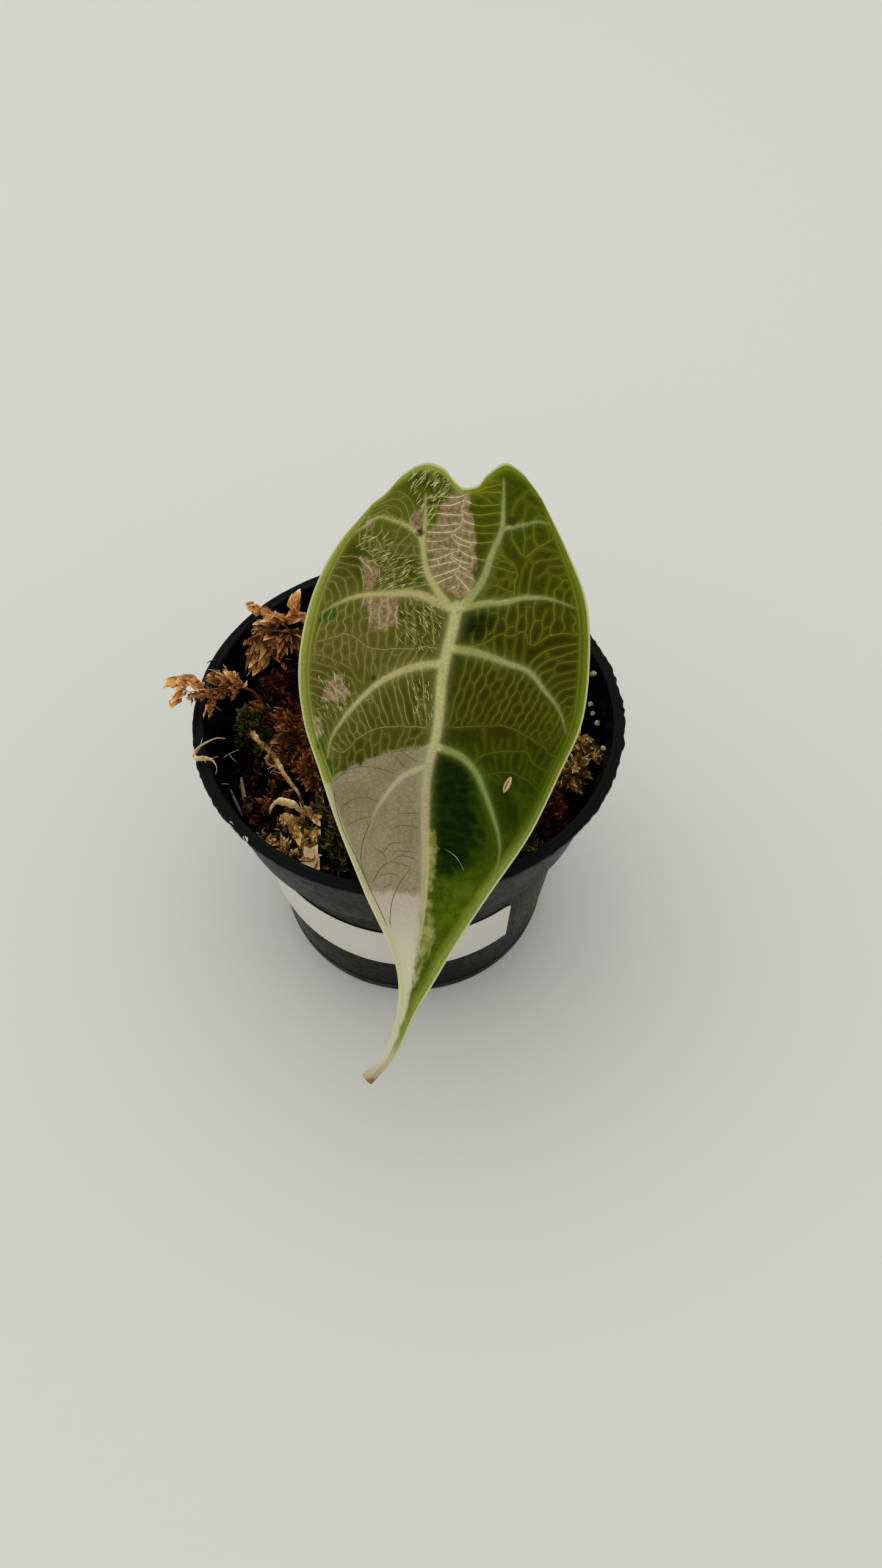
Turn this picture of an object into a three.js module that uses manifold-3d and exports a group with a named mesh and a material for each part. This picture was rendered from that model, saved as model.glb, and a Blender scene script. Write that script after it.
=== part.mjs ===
// A young variegated alocasia in a round nursery pot: one leaf on its stalk, rooted in old sphagnum moss.
// Millimetres, +Z up. The origin is the middle of the pot's flat base, and the leaf tips forward, to -Y.
import * as THREE from "three";
import { mergeVertices } from "three/addons/utils/BufferGeometryUtils.js";
import Module from "manifold-3d";

const wasm = await Module();
wasm.setup();

// Driving dimensions

const GAP = 0.3; // between two pieces that touch
const BLADE_THICKNESS = 0.7;

const pot = {
  sides: 64,
  height: 67.8,
  baseRadius: 31.7,
  bodyRadius: 36.6, // at the step
  stepZ: 47.2,
  collarFootRadius: 39.7,
  collarTopRadius: 43.5,
  rimRadius: 45,
  rimThickness: 1.2,
  rimWidth: 2.4,
  wall: 0.9,
  holes: 8,
  holeRadius: 3.2,
  holeCircle: 24.5,
  footZ: 3.4, // the faint line where the foot ends
  footProud: 0.15,
  edge: 0.5, // the small flats on its outer edges
};

const label = {
  width: 17.6,
  thickness: 0.4,
  lowEdgeZ: 17.1,
  middleAzimuth: -85, // where the straight strip lies level
  leftAzimuth: -158,
  rightAzimuth: -52,
  steps: 26,
};

const bed = {
  middleZ: 55.5,
  wallZ: 52.5,
  lump: 2.6,
  gap: 0.4, // to the pot's floor and wall
  sides: 36,
  rings: 9,
};

const rhizome = { x: 1.5, y: 3.5, bottomZ: 33, topZ: 52, radius: 4.6, neckRadius: 3.6 };
const stalkHoleRadius = 5;

// The blade's own frame: its heart is where the stalk joins, one way runs up the blade to its lobes,
// one runs across it, and one stands off its upper face.
const heart = new THREE.Vector3(9, -12.9, 110);
const faceTilt = 46.2; // the upper face's normal above level, in degrees
const faceTurn = -93.6; // its azimuth
const bladeRoll = 2;

// Rows across the blade, from the lobes' shoulders to the tip: the left margin, the midrib and the
// right margin, each as distance across and distance up from the heart.
const bladeRows = [
  [[-14.8, 18.7], [1.1, 21.0], [14.7, 19.1]],
  [[-21.5, 11.0], [0.6, 10.6], [19.5, 10.0]],
  [[-26.0, 2.2], [-0.3, -0.1], [22.7, 1.6]],
  [[-28.3, -9.3], [-2.6, -10.3], [23.5, -8.8]],
  [[-27.7, -19.5], [-3.6, -20.5], [22.4, -19.2]],
  [[-24.9, -28.6], [-5.5, -28.8], [18.8, -28.2]],
  [[-21.6, -39.7], [-5.9, -38.4], [13.6, -39.6]],
  [[-17.3, -51.0], [-6.0, -48.2], [6.4, -50.6]],
  [[-12.9, -61.3], [-7.2, -60.1], [-0.2, -61.3]],
  [[-11.2, -69.1], [-8.7, -69.4], [-4.8, -69.4]],
  [[-12.1, -77.5], [-10.5, -76.6], [-8.3, -75.7]],
  [[-15.1, -85.0], [-13.5, -84.2], [-11.9, -84.3]],
  [[-18.0, -88.8], [-17.3, -89.7], [-16.7, -90.7]],
];
// The top edge from the left shoulder over the left lobe, the notch between the lobes, and the right lobe.
const bladeTop = [
  [-14.8, 18.7], [-12.2, 20.6], [-9.3, 23.5], [-5.7, 25.4], [-2.5, 24.6], [-0.5, 22.6], [1.1, 21.0],
  [3.5, 21.4], [5.3, 23.1], [8.1, 25.3], [10.7, 24.1], [12.9, 21.7], [14.7, 19.1],
];
const lobeReach = 3; // rows that the top edge's shape fades over
const bladeBend = 0.0011; // how fast the blade curves back along its length, per mm
const bladeCrest = 5; // the height on the blade where that curve starts
const bladeDroop = 0.11; // how far each margin falls back, as a share of the half width
const marginWave = 0.5;
const marginWaveRows = 2.3;
const crease = { fromRow: 7.2, toRow: 9.8, fromAcross: 0.45, toAcross: 0.66, width: 0.2, depth: 0.7 };
const gridPerRow = 3;
const gridAcross = 16;

// Ribs as [row, across] along each one, across running from -1 at the left margin to 1 at the right.
const ribs = [
  { radius: [1.45, 0.55], at: [
    [1.95, 0], [3, 0], [4.5, 0], [6, 0], [7.5, 0], [9, 0], [10.5, 0], [11.6, 0],
  ] },
  { radius: [0.95, 0.4], at: [[1.98, -0.05], [1.5, -0.23], [1.14, -0.31], [0.76, -0.35], [0.4, -0.41]] },
  { radius: [0.95, 0.4], at: [[1.98, -0.03], [1.83, -0.25], [1.88, -0.47], [1.92, -0.66], [2.16, -0.88]] },
  { radius: [0.95, 0.4], at: [
    [2.83, 0], [2.96, -0.22], [3.18, -0.4], [3.5, -0.55], [3.86, -0.68], [4.3, -0.81],
  ] },
  { radius: [0.8, 0.4], at: [
    [4.78, 0], [4.98, -0.2], [5.33, -0.36], [5.66, -0.53], [6.03, -0.7], [6.8, -0.83],
  ] },
  { radius: [0.95, 0.4], at: [
    [1.98, 0.05], [1.53, 0.19], [1.16, 0.28], [0.85, 0.39], [0.54, 0.43], [0.25, 0.47],
  ] },
  { radius: [0.6, 0.38], at: [[0.85, 0.39], [0.81, 0.57], [0.55, 0.86]] },
  { radius: [0.95, 0.4], at: [[1.96, 0.02], [1.9, 0.21], [1.93, 0.38], [1.9, 0.54], [2.05, 0.88]] },
  { radius: [0.95, 0.4], at: [
    [2.55, 0], [2.73, 0.23], [2.91, 0.41], [3.09, 0.58], [3.43, 0.7], [4.1, 0.88],
  ] },
  { radius: [0.9, 0.4], at: [[4.3, 0], [4.61, 0.21], [4.98, 0.36], [5.34, 0.46], [5.8, 0.6], [6.4, 0.8]] },
];
const ribRise = 0.3; // how far a rib stands above the upper face

const stalk = {
  path: [[1.7, 3.4, 52.4], [2.2, 3.2, 62], [3.6, 1.6, 78], [6.2, -3.2, 94]],
  baseRadius: 2.5,
  middleRadius: 1.75,
  topRadius: 1.95,
  topDirection: [0.06, -0.55, 0.83],
  socketLength: 3,
  sheathRise: 1.3,
  sheathShare: 0.36,
};

// Small parts of geometry

const v3 = (p) => new THREE.Vector3(...p);
const degrees = (a) => (a * Math.PI) / 180;

// A steady random draw from 0 to 1 for each seed.
function randomDraw(seed) {
  let state = seed * 7919 + 17;
  return () => {
    state = (state * 16807) % 2147483647;
    return state / 2147483647;
  };
}

// The solid of a closed three.js geometry, with triangles that have shrunk to a line left out.
function solid(geometry) {
  const bare = geometry.clone();
  bare.deleteAttribute("normal");
  bare.deleteAttribute("uv");
  const merged = mergeVertices(bare, 1e-4);
  const faces = [];
  const index = merged.index.array;
  for (let i = 0; i < index.length; i += 3) {
    const [a, b, c] = [index[i], index[i + 1], index[i + 2]];
    if (a !== b && b !== c && c !== a) faces.push(a, b, c);
  }
  const build = (triVerts) =>
    new wasm.Manifold(
      new wasm.Mesh({
        numProp: 3,
        vertProperties: new Float32Array(merged.attributes.position.array),
        triVerts: new Uint32Array(triVerts),
      }),
    );
  const made = build(faces);
  return made.volume() > 0 ? made : build(faces.reverse());
}

const join = (solids) => solids.reduce((all, next) => all.add(next));

// A solid with its lone scraps dropped: only the largest body stays.
function largestBody(made) {
  const bodies = made.decompose();
  return bodies.reduce((best, next) => (next.volume() > best.volume() ? next : best));
}

function geometryOf(made) {
  const mesh = made.getMesh();
  const count = mesh.numVert;
  const position = new Float32Array(count * 3);
  for (let i = 0; i < count; i++)
    position.set(mesh.vertProperties.subarray(i * mesh.numProp, i * mesh.numProp + 3), i * 3);
  const geometry = new THREE.BufferGeometry();
  geometry.setAttribute("position", new THREE.BufferAttribute(position, 3));
  geometry.setIndex(new THREE.BufferAttribute(new Uint32Array(mesh.triVerts), 1));
  geometry.computeVertexNormals();
  return geometry;
}

// A closed mesh over rings of equal count, each a list of points round the piece. Its ends are flat,
// or the last ring closes on a middle point.
function closedRings(rings, middlePoint) {
  const around = rings[0].length;
  const points = middlePoint ? [...rings.flat(), middlePoint] : rings.flat();
  const faces = [];
  const last = (rings.length - 1) * around;
  const middle = last + around;
  for (let i = 0; i + 1 < rings.length; i++)
    for (let j = 0; j < around; j++) {
      const a = i * around + j;
      const b = i * around + ((j + 1) % around);
      faces.push(a, b, b + around, a, b + around, a + around);
    }
  for (let j = 1; j + 1 < around; j++) {
    faces.push(0, j + 1, j);
    if (!middlePoint) faces.push(last, last + j, last + j + 1);
  }
  if (middlePoint)
    for (let j = 0; j < around; j++) faces.push(last + j, last + ((j + 1) % around), middle);
  const geometry = new THREE.BufferGeometry().setFromPoints(points);
  geometry.setIndex(faces);
  return geometry;
}

// A bar along a smooth curve through the points, its radius given along it and round it. Its section
// turns as little as it can, or keeps one corner towards the given top.
function bar(points, radiusAt, steps, sides, top) {
  const curve = new THREE.CatmullRomCurve3(points, false, "centripetal");
  const frames = curve.computeFrenetFrames(steps);
  const rings = [];
  for (let i = 0; i <= steps; i++) {
    const along = i / steps;
    const centre = curve.getPointAt(along);
    const ahead = frames.tangents[i];
    const first = top
      ? top.clone().addScaledVector(ahead, -top.dot(ahead)).normalize()
      : frames.normals[i];
    const second = ahead.clone().cross(first);
    const ring = [];
    for (let j = 0; j < sides; j++) {
      const angle = (2 * Math.PI * j) / sides;
      const outward = first.clone().multiplyScalar(Math.cos(angle));
      outward.addScaledVector(second, Math.sin(angle));
      ring.push(centre.clone().addScaledVector(outward, radiusAt(along, outward)));
    }
    rings.push(ring);
  }
  return solid(closedRings(rings));
}

const taper = (from, to) => (along) => from + (to - from) * along;

// A profile of [radius, height] pairs turned about the upright axis.
function turned(profile, sides) {
  const outline = profile.map(([r, z]) => new THREE.Vector2(r, z));
  return solid(new THREE.LatheGeometry(outline, sides).rotateX(Math.PI / 2));
}

// Uniform Catmull-Rom through a list of [x, y] pairs, at a place counted in points.
function splineAt(list, place) {
  const last = list.length - 1;
  const i = Math.min(Math.floor(place), last - 1);
  const t = place - i;
  const beyond = (end, inner) => [2 * end[0] - inner[0], 2 * end[1] - inner[1]];
  const a = i > 0 ? list[i - 1] : beyond(list[0], list[1]);
  const b = list[i];
  const c = list[i + 1];
  const d = i + 2 <= last ? list[i + 2] : beyond(list[last], list[last - 1]);
  return [0, 1].map(
    (k) =>
      0.5 *
      (2 * b[k] +
        (c[k] - a[k]) * t +
        (2 * a[k] - 5 * b[k] + 4 * c[k] - d[k]) * t * t +
        (3 * b[k] - a[k] - 3 * c[k] + d[k]) * t * t * t),
  );
}

// Pot

const bodyOuter = (z) => pot.baseRadius + ((pot.bodyRadius - pot.baseRadius) * z) / pot.stepZ;
const collarFootZ = pot.stepZ + pot.wall;
const rimFootZ = pot.height - pot.rimThickness;
function innerRadius(z) {
  if (z < collarFootZ) return bodyOuter(z) - pot.wall;
  const share = (z - collarFootZ) / (pot.height - collarFootZ);
  const low = pot.collarFootRadius - pot.wall;
  return low + (pot.rimRadius - pot.rimWidth - low) * Math.min(share, 1);
}

function nurseryPot() {
  const shell = turned(
    [
      [0, 0],
      [pot.baseRadius - pot.edge, 0],
      [pot.baseRadius, pot.edge],
      [bodyOuter(pot.footZ) + pot.footProud, pot.footZ],
      [bodyOuter(pot.footZ + pot.edge), pot.footZ + pot.edge],
      [pot.bodyRadius, pot.stepZ],
      [pot.collarFootRadius - pot.edge, pot.stepZ],
      [pot.collarFootRadius, pot.stepZ + pot.edge],
      [pot.collarTopRadius, rimFootZ],
      [pot.rimRadius - pot.edge / 2, rimFootZ],
      [pot.rimRadius, rimFootZ + pot.edge / 2],
      [pot.rimRadius - pot.edge / 2, pot.height],
      [pot.rimRadius - pot.rimWidth + pot.edge, pot.height],
      [pot.rimRadius - pot.rimWidth, pot.height - pot.edge],
      [innerRadius(collarFootZ), collarFootZ],
      [pot.bodyRadius - pot.wall, collarFootZ],
      [innerRadius(pot.wall), pot.wall],
      [0, pot.wall],
    ],
    pot.sides,
  );
  const holes = [];
  for (let i = 0; i < pot.holes; i++) {
    const angle = (2 * Math.PI * (i + 0.5)) / pot.holes;
    const hole = new THREE.CylinderGeometry(pot.holeRadius, pot.holeRadius, 4 * pot.wall, 10);
    hole.rotateX(Math.PI / 2);
    hole.translate(pot.holeCircle * Math.cos(angle), pot.holeCircle * Math.sin(angle), 0);
    holes.push(solid(hole));
  }
  return shell.subtract(join(holes));
}

// A straight strip laid round the body's cone: unrolled, the cone is a fan round its apex.
function potLabel() {
  const slope = Math.atan((pot.bodyRadius - pot.baseRadius) / pot.stepZ);
  const lowRadius = bodyOuter(label.lowEdgeZ) + GAP;
  const apexDistance = lowRadius / Math.sin(slope);
  const alongAt = (azimuth) =>
    apexDistance * Math.tan(degrees(azimuth - label.middleAzimuth) * Math.sin(slope));
  const place = (along, up, out) => {
    const fromApex = Math.hypot(along, apexDistance + up);
    const turn = Math.atan2(along, apexDistance + up) / Math.sin(slope);
    const azimuth = degrees(label.middleAzimuth) + turn;
    const r = fromApex * Math.sin(slope) + out;
    const z = label.lowEdgeZ + (fromApex - apexDistance) * Math.cos(slope);
    return new THREE.Vector3(r * Math.cos(azimuth), r * Math.sin(azimuth), z);
  };
  const rings = [];
  const left = alongAt(label.leftAzimuth);
  const right = alongAt(label.rightAzimuth);
  for (let i = 0; i <= label.steps; i++) {
    const along = left + ((right - left) * i) / label.steps;
    rings.push([
      place(along, 0, 0),
      place(along, label.width, 0),
      place(along, label.width, label.thickness),
      place(along, 0, label.thickness),
    ]);
  }
  return solid(closedRings(rings));
}

// Moss bed

const bedEdgeRadius = (z) => innerRadius(z) - bed.gap;

// The bed's lumps: three crossing waves, higher in the middle and a little lower by the right wall.
function bedWave(x, y) {
  const share = Math.min(Math.hypot(x, y) / pot.collarFootRadius, 1);
  const dome = bed.wallZ + (bed.middleZ - bed.wallZ) * (1 - share * share);
  const waves =
    Math.sin(x / 3.1 + 0.7) * Math.cos(y / 2.7) +
    0.7 * Math.sin((x + y) / 4.3 + 2) +
    0.5 * Math.cos((x - 2 * y) / 3.7);
  return dome + 0.5 * bed.lump * waves - x / 28;
}

const bedRingRadius = (ring) => (bedEdgeRadius(bed.wallZ) * ring) / bed.rings;
const bedCorner = (ring, side) => {
  const angle = (2 * Math.PI * side) / bed.sides;
  const r = bedRingRadius(ring);
  return bedWave(r * Math.cos(angle), r * Math.sin(angle));
};

// The height of the bed's faceted top: the wedge and ring under the point, then its triangle.
function bedTop(x, y) {
  const step = (2 * Math.PI) / bed.sides;
  const angle = (Math.atan2(y, x) + 2 * Math.PI) % (2 * Math.PI);
  const side = Math.min(Math.floor(angle / step), bed.sides - 1);
  const r = Math.hypot(x, y);
  const p = (r * Math.sin(step * (side + 1) - angle)) / Math.sin(step);
  const q = (r * Math.sin(angle - step * side)) / Math.sin(step);
  const ring = Math.min(Math.floor((p + q) / bedRingRadius(1)), bed.rings - 1);
  const inner = bedRingRadius(ring);
  const outer = bedRingRadius(ring + 1);
  const near = bedCorner(ring, side);
  const far = bedCorner(ring + 1, side);
  const farNext = bedCorner(ring + 1, side + 1);
  const nearNext = bedCorner(ring, side + 1);
  if (ring === 0) return near + ((far - near) * p + (farNext - near) * q) / outer;
  const across = q / outer;
  const out = (p + q - inner) / (outer - inner);
  if (across <= out) return near + (far - near) * (out - across) + (farNext - near) * across;
  const turn = (q - outer * out) / inner;
  return near + (farNext - near) * out + (nearNext - near) * turn;
}

function mossBed(cuts) {
  const rings = [];
  const floorZ = pot.wall + bed.gap;
  const stepZ = collarFootZ + bed.gap;
  const level = (radius, z) =>
    Array.from({ length: bed.sides }, (_, side) => {
      const angle = (2 * Math.PI * side) / bed.sides;
      return new THREE.Vector3(radius * Math.cos(angle), radius * Math.sin(angle), z);
    });
  rings.push(level(bedEdgeRadius(floorZ), floorZ));
  rings.push(level(pot.bodyRadius - pot.wall - bed.gap, stepZ));
  rings.push(level(bedEdgeRadius(stepZ), stepZ));
  for (let ring = bed.rings; ring > 0; ring--)
    rings.push(
      level(bedRingRadius(ring), 0).map((p, side) => p.setZ(bedCorner(ring, side))),
    );
  const middle = new THREE.Vector3(0, 0, bedCorner(0, 0));
  return largestBody(solid(closedRings(rings, middle)).subtract(join(cuts)));
}

// Rhizome with its roots; the same shape grown by a margin is its hollow in the moss.
function rhizomeAndRoots(margin) {
  const { bottomZ, topZ, radius, neckRadius } = rhizome;
  const body = turned(
    [
      [0, bottomZ - margin],
      [radius * 0.6 + margin, bottomZ + 1 - margin],
      [radius + margin, bottomZ + 7],
      [radius + margin, bottomZ + 12],
      [neckRadius + margin, topZ - 2],
      [neckRadius + margin, topZ + margin],
      [0, topZ + margin],
    ],
    10,
  ).translate([rhizome.x, rhizome.y, 0]);
  const rootPaths = [
    [[0, 0, 44], [9, 3, 41], [17, 8, 33], [20, 14, 22], [17, 18, 10]],
    [[0, 0, 43], [-2, 9, 39], [-7, 17, 31], [-14, 19, 20], [-21, 14, 9]],
    [[0, 0, 42], [-9, -1, 39], [-18, -4, 32], [-23, -9, 21], [-20, -15, 10]],
    [[0, 0, 41], [2, -9, 37], [6, -18, 28], [5, -24, 17], [-2, -25, 8]],
    [[0, 0, 38], [7, -5, 33], [14, -9, 24], [17, -16, 15], [12, -21, 7]],
  ];
  const roots = rootPaths.map((path) =>
    bar(
      path.map(([x, y, z]) => new THREE.Vector3(rhizome.x + x, rhizome.y + y, z)),
      taper(1.15 + margin, 0.6 + margin),
      8,
      6,
    ),
  );
  return join([body, ...roots]);
}

// Leaf

const faceOut = new THREE.Vector3(
  Math.cos(degrees(faceTilt)) * Math.cos(degrees(faceTurn)),
  Math.cos(degrees(faceTilt)) * Math.sin(degrees(faceTurn)),
  Math.sin(degrees(faceTilt)),
);
const faceAcross = new THREE.Vector3(Math.cos(degrees(-bladeRoll)), Math.sin(degrees(-bladeRoll)), 0)
  .cross(faceOut)
  .cross(faceOut)
  .negate()
  .normalize();
const faceUp = faceOut.clone().cross(faceAcross);

const mix = (a, b, share) => [a[0] + (b[0] - a[0]) * share, a[1] + (b[1] - a[1]) * share];

// The blade's middle surface: each row runs from the midrib to a margin, the rows by the lobes follow
// the top edge, and the whole falls back from the heart along its length and towards its margins.
function bladePoint(row, across, lift = 0) {
  const line = (k) => splineAt(bladeRows.map((r) => r[k]), row);
  const [left, middle, right] = [line(0), line(1), line(2)];
  const k = across < 0 ? 0 : 2;
  const share = Math.abs(across);
  const flat = mix(middle, across < 0 ? left : right, share);
  const top = splineAt(bladeTop, ((across + 1) / 2) * (bladeTop.length - 1));
  const chord = mix(bladeRows[0][1], bladeRows[0][k], share);
  const fade = Math.max(0, 1 - row / lobeReach) ** 2;
  const x = flat[0] + fade * (top[0] - chord[0]);
  const y = flat[1] + fade * (top[1] - chord[1]);
  const halfWidth = Math.hypot(right[0] - left[0], right[1] - left[1]) / 2;
  const wave = marginWave * share ** 4 * Math.sin((2 * Math.PI * row) / marginWaveRows + k);
  const back = bladeBend * (y - bladeCrest) ** 2 + bladeDroop * halfWidth * share * share;
  const narrowing = Math.min(1, halfWidth / 10);
  const out = -back + wave * narrowing - creaseDepth(row, across) + lift;
  return heart
    .clone()
    .addScaledVector(faceAcross, x)
    .addScaledVector(faceUp, y)
    .addScaledVector(faceOut, out);
}

// The fold right of the midrib above the tip: a short valley that fades at both ends.
function creaseDepth(row, across) {
  const along = (row - crease.fromRow) / (crease.toRow - crease.fromRow);
  if (along <= 0 || along >= 1) return 0;
  const centre = crease.fromAcross + (crease.toAcross - crease.fromAcross) * along;
  const off = (across - centre) / crease.width;
  return crease.depth * Math.sin(Math.PI * along) * Math.exp(-off * off);
}

function bladeSheet() {
  const rowCount = (bladeRows.length - 1) * gridPerRow;
  const rings = [];
  for (let i = 0; i <= rowCount; i++) {
    const upper = [];
    const lower = [];
    for (let j = 0; j <= gridAcross; j++) {
      const across = -1 + (2 * j) / gridAcross;
      upper.push(bladePoint(i / gridPerRow, across, BLADE_THICKNESS / 2));
      lower.push(bladePoint(i / gridPerRow, across, -BLADE_THICKNESS / 2));
    }
    rings.push({ upper, lower });
  }
  const points = rings.flatMap((ring) => [...ring.upper, ...ring.lower]);
  const width = gridAcross + 1;
  const faces = [];
  const quad = (a, b, c, d) => faces.push(a, b, c, a, c, d);
  for (let i = 0; i < rowCount; i++) {
    const here = i * 2 * width;
    const next = here + 2 * width;
    for (let j = 0; j < gridAcross; j++) {
      quad(here + j, next + j, next + j + 1, here + j + 1);
      faces.push(here + width + j, next + width + j + 1, next + width + j);
      faces.push(here + width + j, here + width + j + 1, next + width + j + 1);
    }
    quad(here, here + width, next + width, next);
    quad(here + gridAcross, next + gridAcross, next + width + gridAcross, here + width + gridAcross);
  }
  const end = rowCount * 2 * width;
  for (let j = 0; j < gridAcross; j++) {
    quad(j, j + 1, width + j + 1, width + j);
    quad(end + j, end + width + j, end + width + j + 1, end + j + 1);
  }
  const geometry = new THREE.BufferGeometry().setFromPoints(points);
  geometry.setIndex(faces);
  return solid(geometry);
}

// A rib lies mostly under the blade, and shows as a low ridge on the upper face.
function bladeRib({ radius: [from, to], at }) {
  const steps = at.length - 1;
  const points = [];
  for (let i = 0; i <= steps; i++) {
    const along = i / steps;
    const [row, across] = at[i];
    const thick = from + (to - from) * along;
    const sink = BLADE_THICKNESS / 2 + ribRise - thick;
    points.push(bladePoint(row, across, sink));
  }
  return bar(points, taper(from, to), steps * 2, 4, faceOut);
}

const stalkTopDirection = v3(stalk.topDirection).normalize();

function leafBlade() {
  const socketEnd = heart.clone().addScaledVector(stalkTopDirection, -stalk.socketLength);
  const socketStart = heart.clone().addScaledVector(stalkTopDirection, -BLADE_THICKNESS / 4);
  const socket = bar([socketStart, socketEnd], taper(2.3, stalk.topRadius), 1, 8);
  return join([bladeSheet(), ...ribs.map(bladeRib), socket]);
}

function leafStalk() {
  const end = heart.clone().addScaledVector(stalkTopDirection, -stalk.socketLength - GAP);
  const before = end.clone().addScaledVector(stalkTopDirection, -6);
  const radiusAt = (along, outward) => {
    const waist = Math.min(1, along / 0.45);
    const round = stalk.baseRadius + (stalk.middleRadius - stalk.baseRadius) * waist;
    const flare = (stalk.topRadius - stalk.middleRadius) * Math.max(0, along - 0.85) / 0.15;
    const sheath = Math.max(0, 1 - along / stalk.sheathShare) * Math.max(0, outward.y) ** 2;
    return round + flare + stalk.sheathRise * sheath;
  };
  return bar([...stalk.path.map(v3), before, end], radiusAt, 18, 9);
}

// A dry husk that has settled on the blade, right of the midrib.
function leafHusk() {
  const at = bladePoint(5.21, 0.62, BLADE_THICKNESS / 2 + GAP + 0.45);
  const husk = new THREE.SphereGeometry(1, 7, 5);
  husk.scale(1.3, 0.6, 0.4);
  husk.rotateZ(degrees(55));
  husk.applyMatrix4(new THREE.Matrix4().makeBasis(faceAcross, faceUp, faceOut));
  husk.translate(at.x, at.y, at.z);
  return solid(husk);
}

// Moss sprigs

// A pointed blade with a keel: its base and tip end the keel, and its two wings stand off it by the
// blade's thickness.
function mossBlade(base, tip, width, thickness, facing, keepClear) {
  const along = tip.clone().sub(base);
  const side = along.clone().cross(facing).normalize();
  const out = side.clone().cross(along).normalize();
  const belly = base.clone().addScaledVector(along, 0.45).addScaledVector(out, thickness);
  const wing = (reach) => keepClear(belly.clone().addScaledVector(side, reach));
  const points = [base, keepClear(tip.clone()), wing(width / 2), wing(-width / 2)];
  const geometry = new THREE.BufferGeometry().setFromPoints(points);
  geometry.setIndex([0, 1, 2, 0, 3, 1, 0, 2, 3, 1, 3, 2]);
  return solid(geometry);
}

// Holds a point of a sprig off the bed and off the pot: inside the wall, or above the rim.
function clearOfPot(overRim) {
  return (point) => {
    const r = Math.hypot(point.x, point.y);
    const rimLimit = innerRadius(pot.height) - 0.5;
    if (overRim && r > rimLimit - 1) {
      point.z = Math.max(point.z, pot.height + 0.6);
      return point;
    }
    const limit = point.z > pot.height + 0.5 ? rimLimit + 0.2 : innerRadius(point.z) - 0.5;
    const scale = Math.min(1, limit / r);
    point.x *= scale;
    point.y *= scale;
    point.z = Math.max(point.z, bedTop(point.x, point.y) + 0.4);
    return point;
  };
}

const FOOT_DEPTH = 3.5; // how far a sprig's stem stands in the bed
const NECK_RISE = 0.9; // how far it rises straight before it bends
const SPRIG_STEM = 0.65;
const BARE_STEM_HOLE = 1.35;
const MOSS_BLADE_THICKNESS = 0.75;
const GOLDEN_ANGLE = 2.39996;

const footOf = ({ foot: [x, y] }) => new THREE.Vector3(x, y, bedTop(x, y) - FOOT_DEPTH);

// A sprig: a stem that stands in its hole in the bed, with blades set round it by the golden angle.
function mossSprig(sprig) {
  const random = randomDraw(sprig.seed);
  const foot = footOf(sprig);
  const neck = foot.clone().setZ(foot.z + FOOT_DEPTH + NECK_RISE);
  const points = [foot, neck, ...sprig.path.map(v3)];
  const stem = bar(points, taper(SPRIG_STEM, 0.5), points.length + 1, 4);
  const curve = new THREE.CatmullRomCurve3(points, false, "centripetal");
  const neckShare = (FOOT_DEPTH + NECK_RISE) / curve.getLength();
  const blades = [];
  const keepClear = clearOfPot(sprig.overRim);
  for (let i = 0; i < sprig.blades; i++) {
    const share = neckShare + (0.97 - neckShare) * ((i + 0.5) / sprig.blades);
    const at = curve.getPointAt(share);
    const along = curve.getTangentAt(share);
    const turn = i * GOLDEN_ANGLE + random();
    const level = new THREE.Vector3(Math.cos(turn), Math.sin(turn), 0.35 * random());
    const away = level.addScaledVector(along, -level.dot(along)).normalize();
    const lean = sprig.lean ?? 0.7;
    const reach = sprig.length * (0.75 + 0.5 * random());
    const direction = away.clone().addScaledVector(along, lean).normalize();
    const tip = at.clone().addScaledVector(direction, reach);
    const facing = along.clone().addScaledVector(away, -lean);
    const width = sprig.width * (0.8 + 0.4 * random());
    blades.push(mossBlade(at, tip, width, MOSS_BLADE_THICKNESS, facing, keepClear));
  }
  return largestBody(join([stem, ...blades]));
}

// The plain hole in the bed that a stem stands in.
function stemHole(stem, radius) {
  const foot = footOf(stem);
  const low = foot.clone().setZ(foot.z - GAP);
  const high = foot.clone().setZ(foot.z + FOOT_DEPTH + 3);
  return bar([low, high], () => radius, 1, 5);
}

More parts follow.
